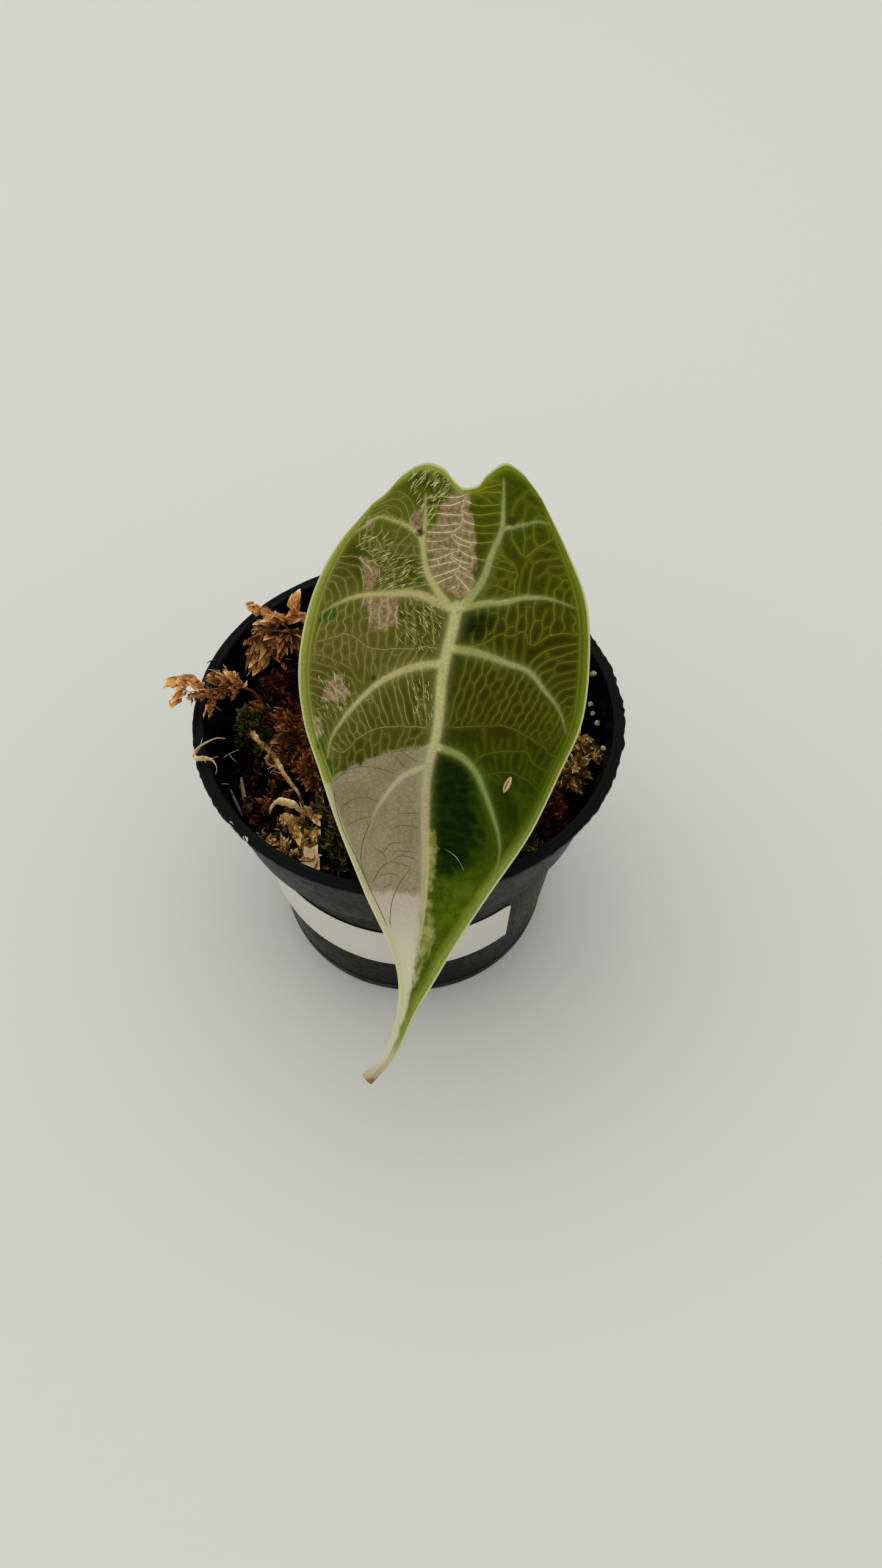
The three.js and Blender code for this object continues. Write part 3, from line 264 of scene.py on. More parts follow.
SPRIGS = dict(
    rim_moss_sprig=(
        "moss_tan", (-31, 9.6), [(-33.2, 8.4, 65), (-37, 5.6, 70.2), (-41.4, 3.6, 71.6), (-45.6, 2.4, 71.8)],
        13, 4.2, 0.95, 0.75, 0.3),
    back_moss_tuft=(
        "moss_tan", (-23.5, 21), [(-25, 23.5, 63), (-27.5, 25, 69.5), (-31, 21.5, 70), (-33.2, 17.8, 65.5)],
        30, 5.6, 1.0, 0.95, 0.22),
    brown_moss_tuft=("moss_rust", (-25.5, 2.5), [(-25.5, 2, 60.5)], 14, 4.6, 0.85, 0.9, 0.2),
    red_moss_tuft_left=("moss_red", (-29, 15), [(-29.5, 14.5, 60)], 12, 4.2, 0.8, 0.9, 0.2),
    green_moss_tuft=("moss_green", (-35, 6.6), [(-35.4, 6.2, 59)], 12, 3.0, 0.7, 0.8, 0.2),
    rust_moss_tuft=("moss_rust", (-19.5, -8.5), [(-20.2, -9.4, 60)], 14, 4.6, 0.85, 0.9, 0.2),
    pale_moss_sprig=("moss_cream", (-24, -22.6), [(-24.8, -24.6, 60)], 9, 3.6, 1.0, 0.9, 0.3),
    front_green_sprig=("moss_green", (-14, -25.4), [(-15.4, -26.4, 59.5)], 10, 3.2, 0.75, 0.9, 0.2),
    right_moss_tuft=("moss_tan", (33, -10.5), [(34.4, -11.0, 59.8)], 13, 3.6, 0.85, 0.9, 0.2),
    right_moss_spike=(
        "moss_tan", (33.5, -2.2), [(35.6, -3.6, 59.5), (38.8, -7.2, 60.8)], 10, 3.0, 0.7, 0.7, 0.35),
    red_moss_tuft_right=("moss_red", (27.5, -20.5), [(28, -20, 57.5)], 14, 4.4, 0.8, 0.9, 0.2),
    olive_moss_tuft=("moss_green", (21.5, -27), [(22, -27.4, 57.5)], 12, 4.0, 0.8, 0.9, 0.2),
    moss_tuft_back=("moss_rust", (-6, 31), [(-6.4, 31.4, 60)], 12, 4.8, 0.9, 0.9, 0.2),
    moss_tuft_back_right=("moss_tan", (17, 28), [(17.5, 28.6, 60.5)], 12, 4.8, 0.9, 0.9, 0.2),
    moss_tuft_right=("moss_rust", (30, 13.5), [(30.8, 13.8, 59)], 12, 4.6, 0.9, 0.9, 0.2),
    moss_tuft_middle=("moss_tan", (14, 10), [(14.6, 10.4, 61)], 12, 4.8, 0.9, 0.9, 0.2),
    moss_tuft_front=("moss_rust", (1, -24), [(1, -24.6, 60)], 12, 4.8, 0.9, 0.9, 0.2),
    moss_tuft_inner=("moss_rust", (-12, 12.5), [(-12.6, 12.8, 60.5)], 12, 4.8, 0.9, 0.9, 0.2),
)
GOLD_SPRIGS = ("right_moss_tuft", "right_moss_spike")
# Dark, light and tip colours.
MOSS_TINTS = dict(
    moss_tan=((92, 44, 8), (222, 158, 82), (252, 230, 176)),
    moss_rust=((66, 28, 6), (140, 80, 28), (204, 156, 90)),
    moss_red=((36, 9, 4), (92, 36, 16), (140, 76, 40)),
    moss_cream=((174, 114, 42), (255, 212, 126), (255, 240, 186)),
    moss_gold=((52, 34, 5), (176, 132, 42), (240, 212, 146)),
    moss_green=((28, 34, 8), (90, 98, 30), (150, 148, 76)),
)
BED_STRANDS = 700
BRANCH_STEPS = 9
STRAND = dict(length=(2.6, 5.4), rise=(0.1, 1.25), sunk=1.9, clearance=2.4, thick=0.75, leaf=1.6, leaves=13)
# Drifts of brighter strands on the bed: middle, spread each way, number and tint.
DRIFTS = [
    (-23.0, 0.5, 3.4, 5.5, 80, "moss_rust"), (-24.5, 9.5, 3.0, 4.0, 40, "moss_red"),
    (-27.0, 17.0, 3.5, 3.0, 40, "moss_red"), (-33.0, 4.5, 2.6, 3.2, 36, "moss_green"),
    (-17.5, -21.5, 2.6, 2.6, 34, "moss_green"), (-24.0, -22.5, 3.0, 3.6, 30, "moss_cream"),
    (-29.0, -13.5, 2.4, 3.0, 10, "moss_rust"), (31.5, -11.5, 2.6, 2.6, 12, "moss_rust"),
    (28.5, -19.5, 3.0, 2.6, 40, "moss_red"), (21.0, -26.5, 3.6, 2.4, 36, "moss_green"),
    (29.0, 6.0, 3.0, 6.0, 30, "moss_red"), (2.0, 29.0, 9.0, 3.0, 60, "moss_rust"),
]

# The branches of the large sprigs: start, end, thickness, leaf size, leaf count and tone.
RIM_BRANCHES = [
    ((-45.4, 5.0, 72.4), (-48.7, 4.9, 72.8), 0.6, 2.1, 12, 1.0),
    ((-45.8, 3.6, 72.2), (-48.3, 1.2, 71.2), 0.6, 2.0, 11, 0.95),
    ((-42.4, 4.6, 71.8), (-46.4, 5.8, 73.0), 0.9, 2.1, 18, 0.9),
    ((-39.6, 3.0, 70.8), (-45.2, 2.2, 70.8), 1.1, 1.5, 46, 0.4),
    ((-40.2, 2.0, 70.4), (-41.4, -1.0, 69.8), 0.8, 1.6, 20, 0.3),
    ((-34.8, 5.4, 69.8), (-37.8, 7.4, 72.2), 1.0, 2.0, 22, 0.6),
    ((-36.0, 5.2, 70.4), (-41.0, 6.8, 72.2), 1.1, 1.9, 30, 0.45),
    ((-35.4, 4.6, 69.6), (-38.6, 3.0, 70.8), 0.9, 1.8, 22, 0.3),
    ((-31.6, 7.4, 59.6), (-33.0, 7.0, 62.4), 0.9, 1.8, 22, 0.25),
]
TUFT_BRANCHES = [
    ((-24.6, 26.4, 68.5), (-24.2, 28.2, 72.2), 1.0, 2.1, 16, 1.0),
    ((-28.6, 25.8, 69.5), (-33.8, 27.6, 71.0), 0.7, 2.3, 14, 0.9),
    ((-27.2, 25.6, 69.0), (-22.6, 25.6, 69.6), 1.2, 2.0, 26, 0.85),
    ((-26.6, 25.2, 68.6), (-29.4, 23.6, 71.6), 1.2, 2.1, 26, 0.9),
    ((-28.0, 25.0, 69.0), (-32.4, 23.2, 69.4), 1.2, 2.1, 28, 0.65),
    ((-28.8, 24.2, 69.0), (-34.0, 20.8, 66.8), 1.0, 2.6, 22, 0.45),
    ((-29.4, 22.8, 68.0), (-34.6, 17.2, 64.4), 0.9, 2.9, 20, 0.4),
    ((-29.0, 22.4, 67.6), (-33.2, 16.4, 63.6), 0.9, 2.9, 20, 0.45),
    ((-28.2, 22.4, 67.4), (-31.0, 18.0, 64.4), 1.0, 2.5, 22, 0.35),
    ((-27.0, 22.8, 67.6), (-28.0, 19.4, 66.0), 1.0, 2.5, 18, 0.3),
    ((-25.6, 23.6, 67.8), (-24.6, 21.4, 66.8), 1.0, 2.4, 18, 0.2),
    ((-24.8, 24.4, 67.0), (-22.4, 23.2, 65.0), 1.0, 2.4, 18, 0.15),
    ((-27.4, 22.4, 66.0), (-27.0, 18.6, 61.4), 0.5, 1.6, 10, 0.3),
]
PALE_BRANCHES = [
    ((-24.2, -20.6, 57.0), (-24.7, -21.6, 60.4), 0.8, 1.9, 10, 0.85),
    ((-24.2, -22.0, 57.0), (-23.8, -24.0, 60.2), 0.9, 1.8, 12, 0.75),
    ((-23.6, -23.2, 57.0), (-23.2, -25.8, 59.2), 0.6, 1.5, 8, 0.4),
    ((-19.8, -19.8, 57.4), (-19.4, -21.6, 60.2), 0.4, 1.6, 9, 0.55),
    ((-19.9, -22.2, 57.0), (-20.0, -25.2, 59.2), 0.4, 1.7, 11, 0.45),
]
LARGE_SPRIGS = dict(rim_moss_sprig=RIM_BRANCHES, back_moss_tuft=TUFT_BRANCHES, pale_moss_sprig=PALE_BRANCHES)
SPIRAL_TURN = 2.4  # radians from one leaf or branch to the next
LEAFLET_ALONG = np.array([0.0, 0.22, 0.5, 0.78, 1.0])
LEAFLET_ACROSS = np.array([-1.0, 0.0, 1.0])
LEAFLET_POINTS = len(LEAFLET_ALONG) * len(LEAFLET_ACROSS)

# Small dry pieces

HUSK = dict(half_length=1.6, half_width=0.56, slit_depth=0.2, flat=0.8, aside=0.42, up=0.9)
FLAKE = dict(from_axis=44.7, z=67.4, sunk=0.9, outward=0.45, face_up=0.8, width=0.32)

# Stage, in metres but for the floor

FLOOR = dict(half_width=1500, front=-1500, run=4200, bend_from=1500, bend_radius=600, below=0.05)
ROOM = dict(colour=(1.0, 1.0, 0.985, 1), strength=0.8)
# Place, size and power of each lamp.
LAMPS = dict(overhead=((-0.15, 0.35, 1.1), 1.2, 2.5), window=((-1.2, 0.2, 0.9), 0.8, 0.85))
LIT_PLACE = (0, 0, 0.05)
CAMERA = dict(
    place=(0, -0.15614, 0.25953), right=(0.9992, -0.0405, 0.002), ahead=(0.0252, 0.5805, -0.8139),
    focal_length=27.05, sensor=36, near=0.01)


# Numbers and shapes

def unit(vectors):
    """Vectors divided by their own lengths."""
    return vectors / np.linalg.norm(vectors, axis=-1, keepdims=True)


def smooth(low, high, value):
    """0 below low, 1 above high, and a smooth S between."""
    t = np.clip((value - low) / (high - low), 0, 1)
    return t * t * (3 - 2 * t)


def spline(points, places):
    """Uniform Catmull-Rom through the points at places counted in points, its ends carried on straight."""
    points = np.asarray(points, float)
    places = np.asarray(places, float)
    last = len(points) - 1
    more = np.concatenate([[2 * points[0] - points[1]], points, [2 * points[-1] - points[-2]]])
    i = np.clip(np.floor(places).astype(int), 0, last - 1)
    t = (places - i)[..., None]
    a, b, c, d = more[i], more[i + 1], more[i + 2], more[i + 3]
    return 0.5 * (
        2 * b + (c - a) * t + (2 * a - 5 * b + 4 * c - d) * t ** 2 + (3 * b - a - 3 * c + d) * t ** 3)


def bell(value, middle, spread):
    """1 at the middle and less on both sides of it, as exp(-(distance / spread) squared)."""
    return np.exp(-((value - middle) / spread) ** 2)


def turned(start, corner, end, t):
    """A curve from start to end that sets off and arrives towards the corner, as a parabola in t."""
    return (1 - t) ** 2 * start + 2 * t * (1 - t) * corner + t ** 2 * end


def polar(radius, azimuth, z):
    """Places at a radius from the upright axis, an azimuth round it and a height."""
    return np.stack(np.broadcast_arrays(radius * np.cos(azimuth), radius * np.sin(azimuth), z), -1)


def azimuths(sectors):
    """Even angles once round."""
    return np.linspace(0, 2 * np.pi, sectors, endpoint=False)


def run_along(points):
    """The length run along a path of short straight steps, at each of its points."""
    return np.concatenate([[0], np.cumsum(np.linalg.norm(np.diff(points, axis=0), axis=1))])


def read_at(at, places, rows):
    """Rows of values known at some places, read at others, straight between them."""
    return np.stack([np.interp(at, places, column) for column in rows.T], -1)


def at_share(path, share):
    """Points at shares of a path's number of steps."""
    return read_at(np.clip(share, 0, 1) * (len(path) - 1), np.arange(len(path)), path)


def along_path(points, count):
    """count places on the spline through the points, evenly spaced by length."""
    dense = spline(points, np.linspace(0, len(points) - 1, 40 * len(points)))
    run = run_along(dense)
    return read_at(np.linspace(0, run[-1], count), run, dense)


def around(ahead, turn, guide):
    """Directions square to the way ahead, turned about it from the one that the guide gives."""
    first = unit(np.cross(ahead, guide))
    return np.cos(turn) * first + np.sin(turn) * np.cross(ahead, first)


def grid_faces(rows, columns, closed=False, first=0):
    """Quads over points stored row by row. A closed grid joins its last column to its first."""
    i, j = np.meshgrid(np.arange(rows - 1), np.arange(columns if closed else columns - 1), indexing="ij")
    k = (j + 1) % columns
    quads = np.stack([i * columns + j, i * columns + k, (i + 1) * columns + k, (i + 1) * columns + j], -1)
    return first + quads.reshape(-1, 4)


def put_mesh(name, points, face_sets, material, attributes=None):
    """A piece from points in millimetres and arrays of faces, each array of one face size."""
    mesh = bpy.data.meshes.new(name)
    points = np.asarray(points, np.float32).reshape(-1, 3)
    mesh.vertices.add(len(points))
    mesh.vertices.foreach_set("co", (points * MM).ravel())
    corners = np.concatenate([f.ravel() for f in face_sets]).astype(np.int32)
    sizes = np.concatenate([np.full(len(f), f.shape[1]) for f in face_sets])
    mesh.loops.add(len(corners))
    mesh.loops.foreach_set("vertex_index", corners)
    mesh.polygons.add(len(sizes))
    mesh.polygons.foreach_set("loop_start", (np.cumsum(sizes) - sizes).astype(np.int32))
    mesh.update(calc_edges=True)
    mesh.shade_smooth()
    for key, values in (attributes or {}).items():
        layer = mesh.attributes.new(key, "FLOAT", "POINT")
        layer.data.foreach_set("value", np.asarray(values, np.float32).ravel())
    mesh.materials.append(material)
    piece = bpy.data.objects.new(name, mesh)
    bpy.context.scene.collection.objects.link(piece)
    return piece


def settle(piece, slot, *nodes):
    """Says which body a piece rides on and the solids that it stands for; its material slot is not used."""
    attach(piece, "root")
    if nodes:
        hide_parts(*nodes)
    return piece


def close_axis(piece):
    """Merges the tiny rings on an axis and the doubled points of a seam, and turns every face outwards."""
    shape = bmesh.new()
    shape.from_mesh(piece.data)
    bmesh.ops.remove_doubles(shape, verts=shape.verts, dist=0.02 * MM)
    bmesh.ops.recalc_face_normals(shape, faces=shape.faces)
    shape.to_mesh(piece.data)
    shape.free()


def closed_piece(name, points, face_sets, material, slot, node, attributes=None):
    """A settled piece whose axis rings and seams are merged and whose faces look outwards."""
    piece = put_mesh(name, points, face_sets, material, attributes)
    close_axis(piece)
    return settle(piece, slot, node)


def box_of(node):
    """The low and high corners of a solid's box, in millimetres."""
    return (np.array(corner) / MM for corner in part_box(node))


# Materials

def srgb(colour):
    """A colour given as three 0 to 255 display values, as the linear colour that shaders take."""
    share = np.array(colour) / 255
    linear = np.where(share <= 0.04045, share / 12.92, ((share + 0.055) / 1.055) ** 2.4)
    return (*linear, 1.0)


class Finish:
    """A node material under construction, with short ways to add each kind of node. Values are numbers,
    other nodes' sockets, or colours of three 0 to 255 display values."""

    def __init__(self, name):
        self.material = bpy.data.materials.new(name)
        self.material.use_nodes = True
        self.nodes = self.material.node_tree.nodes
        self.links = self.material.node_tree.links
        self.nodes.clear()
        self.shader = self.node("BsdfPrincipled")
        self.node("OutputMaterial", Surface=self.shader.outputs[0])

    def feed(self, socket, value):
        if isinstance(value, bpy.types.NodeSocket):
            self.links.new(value, socket)
        else:
            socket.default_value = srgb(value) if isinstance(value, tuple) else value

    def node(self, kind, settings=(), **values):
        node = self.nodes.new("ShaderNode" + kind)
        for key, setting in dict(settings).items():
            setattr(node, key, setting)
        for key, value in values.items():
            self.feed(node.inputs[key.replace("_", " ")], value)
        return node

    def attribute(self, name):
        return self.node("Attribute", dict(attribute_name=name)).outputs["Fac"]

    def place(self, scale=(1, 1, 1)):
        mapping = self.node("Mapping", Vector=self.node("TexCoord").outputs["Object"])
        mapping.inputs["Scale"].default_value = scale
        return mapping.outputs[0]

    def noise(self, scale, detail=3.0, roughness=0.55, distortion=0.0, stretch=(1, 1, 1)):
        return self.node("TexNoise", Scale=scale, Detail=detail, Roughness=roughness,
                         Distortion=distortion, Vector=self.place(stretch)).outputs["Fac"]

    def cells(self, scale, feature="F1"):
        node = self.node("TexVoronoi", dict(feature=feature), Scale=scale, Vector=self.place())
        return node.outputs["Distance"]

    def math(self, operation, first, second=0.0):
        node = self.node("Math", dict(operation=operation))
        self.feed(node.inputs[0], first)
        self.feed(node.inputs[1], second)
        return node.outputs[0]

    def times(self, first, second):
        return self.math("MULTIPLY", first, second)

    def plus(self, first, second):
        return self.math("ADD", first, second)

    def ramp(self, value, low, high, to_low=0.0, to_high=1.0):
        """value's stretch from low to high, mapped smoothly to to_low..to_high and held beyond."""
        return self.node("MapRange", dict(interpolation_type="SMOOTHSTEP"), Value=value, From_Min=low,
                         From_Max=high, To_Min=to_low, To_Max=to_high).outputs["Result"]

    def mix(self, share, first, second):
        node = self.node("Mix", dict(data_type="RGBA"), Factor=share)
        self.feed(node.inputs[6], first)
        self.feed(node.inputs[7], second)
        return node.outputs[2]

    def lay(self, colour, *layers):
        """A colour with others laid over it in turn: each layer is its share and its colour."""
        for share, tint in layers:
            colour = self.mix(share, colour, tint)
        return colour

    def stops(self, value, *stops):
        """A colour ramp: stops are (place, colour) from low to high."""
        node = self.node("ValToRGB", Fac=value)
        elements = node.color_ramp.elements
        while len(elements) < len(stops):
            elements.new(0.5)
        for element, (place, colour) in zip(elements, stops):
            element.position = place
            element.color = srgb(colour)
        return node.outputs["Color"]

    def bump(self, height, distance, strength=1.0):
        """Bump from a height field, its full height given in millimetres."""
        node = self.node("Bump", Strength=strength, Distance=distance * MM, Height=height)
        self.links.new(node.outputs[0], self.shader.inputs["Normal"])

    def set(self, **values):
        for key, value in values.items():
            self.feed(self.shader.inputs[key.replace("_", " ")], value)


def pot_finish():
    """Black moulded plastic: satin, with a fine grain, and dust and pale specks in patches."""
    f = Finish("pot_plastic")
    dust = f.noise(700, 4, 0.65)
    patches = f.noise(90, 3)
    dusty = f.times(f.ramp(dust, 0.48, 0.72), f.ramp(patches, 0.42, 0.7))
    specks = f.times(f.ramp(f.cells(520), 0.1, 0.04), f.ramp(patches, 0.6, 0.75))
    worn = f.plus(f.times(dust, 0.6), f.times(patches, 0.4))
    f.set(Base_Color=f.lay((3, 5, 5), (dusty, (10, 12, 11)), (specks, (150, 148, 130))))
    f.set(Roughness=f.ramp(worn, 0.35, 0.65, 0.3, 0.5), Specular_IOR_Level=0.065)
    f.bump(f.noise(9000, 2), 0.02, 0.35)
    return f.material


def label_finish():
    """White laminated tape: a bright satin film with the faint unevenness of hand-laid tape."""
    f = Finish("label_film")
    f.set(Base_Color=f.mix(f.noise(60, 2), (204, 201, 190), (214, 211, 200)))
    f.set(Roughness=f.ramp(f.noise(250, 3), 0.3, 0.7, 0.34, 0.46))
    f.bump(f.noise(120, 2), 0.12, 0.4)
    return f.material


# Leaf surface

def face_axes():
    """The ways out of the blade's face, level across it and up along it, from its tilt, turn and roll."""
    tilt, turn, roll = np.radians([FACE_TILT, FACE_TURN, -BLADE_ROLL])
    out = np.array([math.cos(tilt) * math.cos(turn), math.cos(tilt) * math.sin(turn), math.sin(tilt)])
    level = np.array([math.cos(roll), math.sin(roll), 0.0])
    across = unit(level - out * (level @ out))
    return out, across, np.cross(out, across)


FACE_OUT, FACE_ACROSS, FACE_UP = face_axes()


def blade_plane(row, across):
    """Places across and up from the heart. Each row runs straight from midrib to margin, and the rows by
    the lobes follow the top edge, by a share that fades away as the square of the distance down."""
    left, middle, right = (spline(BLADE_ROWS[:, k], row) for k in range(3))
    share = np.abs(across)[..., None]
    is_left = (across < 0)[..., None]
    flat = middle + share * (np.where(is_left, left, right) - middle)
    corner = np.where(is_left, BLADE_ROWS[0, 0], BLADE_ROWS[0, 2])
    chord = BLADE_ROWS[0, 1] + share * (corner - BLADE_ROWS[0, 1])
    fade = np.clip(1 - row / LOBE_REACH, 0, None)[..., None] ** 2
    top = spline(BLADE_TOP, (across + 1) / 2 * (len(BLADE_TOP) - 1))
    return flat + fade * (top - chord), np.linalg.norm(right - left, axis=-1) / 2


def blade_point(row, across, lift=0.0):
    """The blade's middle surface in the pot's frame, falling back from the heart as the square of the
    distance down it and of the share across it, with a waved margin and one crease near the tip."""
    place, half_width = blade_plane(row, across)
    share = np.abs(across)
    phase = np.where(across < 0, 0.0, 2.0)
    wave = MARGIN_WAVE * share ** 4 * np.sin(2 * np.pi * row / MARGIN_WAVE_ROWS + phase)
    back = BLADE_BEND * (place[..., 1] - BLADE_CREST) ** 2 + BLADE_DROOP * half_width * share ** 2
    along = np.clip((row - CREASE["from_row"]) / (CREASE["to_row"] - CREASE["from_row"]), 0, 1)
    centre = CREASE["from_across"] + (CREASE["to_across"] - CREASE["from_across"]) * along
    valley = CREASE["depth"] * np.sin(np.pi * along) * bell(across, centre, CREASE["width"])
    out = wave * np.minimum(1, half_width / 10) - back - valley + lift
    return HEART + place[..., :1] * FACE_ACROSS + place[..., 1:] * FACE_UP + out[..., None] * FACE_OUT


def to_step(place, start, end):
    """Distance from each place to a straight step, and the share of it at which it comes nearest."""
    step = end - start
    t = np.clip(((place - start) @ step) / max(step @ step, 1 / FAR), 0, 1)
    return np.linalg.norm(place - start - t[..., None] * step, axis=-1), t


def near_path(place, path, widths):
    """Distance from each place to a path of short straight steps, and the path's width there."""
    best = np.full(place.shape[:-1], FAR)
    width = np.zeros(place.shape[:-1])
    for start, end, from_width, to_width in zip(path[:-1], path[1:], widths[:-1], widths[1:]):
        gap, t = to_step(place, start, end)
        width = np.where(gap < best, from_width + (to_width - from_width) * t, width)
        best = np.minimum(best, gap)
    return best, width


def region_depth(place, outlines):
    """How far inside the nearest of some closed outlines each place lies; below 0 outside them."""
    depth = np.full(place.shape[:-1], -FAR)
    for outline in outlines:
        corners = np.array(outline)
        gap = np.full(place.shape[:-1], FAR)
        inside = np.zeros(place.shape[:-1], bool)
        for a, b in zip(corners, np.roll(corners, -1, 0)):
            gap = np.minimum(gap, to_step(place, a, b)[0])
            spans = (a[1] > place[..., 1]) != (b[1] > place[..., 1])
            height = b[1] - a[1] or 1 / FAR
            inside ^= spans & (place[..., 0] < a[0] + (b[0] - a[0]) * (place[..., 1] - a[1]) / height)
        depth = np.maximum(depth, np.where(inside, gap, -gap))
    return depth


def measured(points, fineness):
    """The spline through some [row, across] places in fine steps, and its run in millimetres at each."""
    dense = spline(points, np.linspace(0, len(points) - 1, fineness * len(points)))
    return dense, run_along(blade_plane(*dense.T)[0])


def vein_route(points, first=0.0, last=1.0, count=90):
    """Places on the spline through some [row, across] points, evenly spaced in millimetres, from one
    share of its length to another."""
    dense, run = measured(points, 30)
    return read_at(np.linspace(first * run[-1], last * run[-1], count), run, dense)


def even_steps(vein, step):
    """A vein's path at even steps of length, and its run in millimetres at each."""
    dense, run = measured(vein, 12)
    at = np.linspace(0, run[-1], max(int(run[-1] / step), 3) + 1)
    return read_at(at, run, dense), at


def length_of(route):
    """A route's length in millimetres: the sum of its steps on the flat blade."""
    return np.linalg.norm(np.diff(blade_plane(*route.T)[0], axis=0), axis=1).sum()


def wandering(route, random, step=1.1, reach=0.2):
    """A route that zigzags: at every step of about a millimetre it is pushed aside at random."""
    count = max(int(length_of(route) / step), 2) + 1
    knots = at_share(route, np.linspace(0, 1, count))
    knots += random.uniform(-1, 1, (count, 2)) * [reach / 10, reach / 24]
    return read_at(np.linspace(0, count - 1, len(route)), np.arange(count), knots)


def rungs(first, second, gap, random, corner=0.0, slant=0.0, links=0.5, cell=2.9):
    """Fine veins between two routes, as a wandering honeycomb. Columns a set gap apart run from one route
    to the other, straight or rounded towards the corner that a vein leaving both squarely would turn.
    Each kinks to one side and then the other at every half cell, where a link joins it to its neighbour."""
    count = max(int(length_of(first) / gap), 2)

    def place(along, across):
        start, end = at_share(first, along), at_share(second, along + slant)
        middle = (start + end) / 2
        middle += corner * (np.stack([end[..., 0], start[..., 1]], -1) - middle)
        return turned(start, middle, end, across[..., None])

    reach = np.mean([length_of(place(np.full(9, u), np.linspace(0, 1, 9))) for u in (0.2, 0.5, 0.8)])
    halves = max(2 * round(reach / cell), 2)
    i, j = np.meshgrid(np.arange(count), np.arange(halves + 1), indexing="ij")
    side = np.where((i + j) % 2 == 0, 1.0, -1.0)
    kink = side * NET["kink"] * (j > 0) + random.uniform(-NET["stray_along"], NET["stray_along"], i.shape)
    ends = (j == 0) | (j == halves)
    stray = random.uniform(-NET["stray_across"], NET["stray_across"], i.shape)
    nodes = place((i + 0.5 + kink) / count, (j + stray * ~ends) / halves)
    starts = np.where(random.uniform(size=count) < NET["late"], 1, 0)
    veins = [(random.uniform(0.5, 1.0), column[begin:]) for column, begin in zip(nodes, starts)]
    joined = (side > 0) & ~ends & (i < count - 1) & (random.uniform(size=i.shape) < links)
    for column, step in np.argwhere(joined):
        one, other = nodes[column, step], nodes[column + 1, step]
        bow = (one + other) / 2 + random.uniform(-1, 1, 2) * NET["bow"]
        veins.append((random.uniform(0.4, 0.9), np.array([one, bow, other])))
    return veins


def margin_vein(rows, side):
    """The vein that runs along inside the margin, a set distance from it."""
    rows = np.asarray(rows, float)
    edge, _ = blade_plane(rows, np.full(len(rows), float(side)))
    centre, _ = blade_plane(rows, np.full(len(rows), side * 0.5))
    half = 2 * np.linalg.norm(edge - centre, axis=-1)
    return np.stack([rows, side * (1 - MARGIN_VEIN_INSET / np.maximum(half, MARGIN_VEIN_LEAST))], -1)


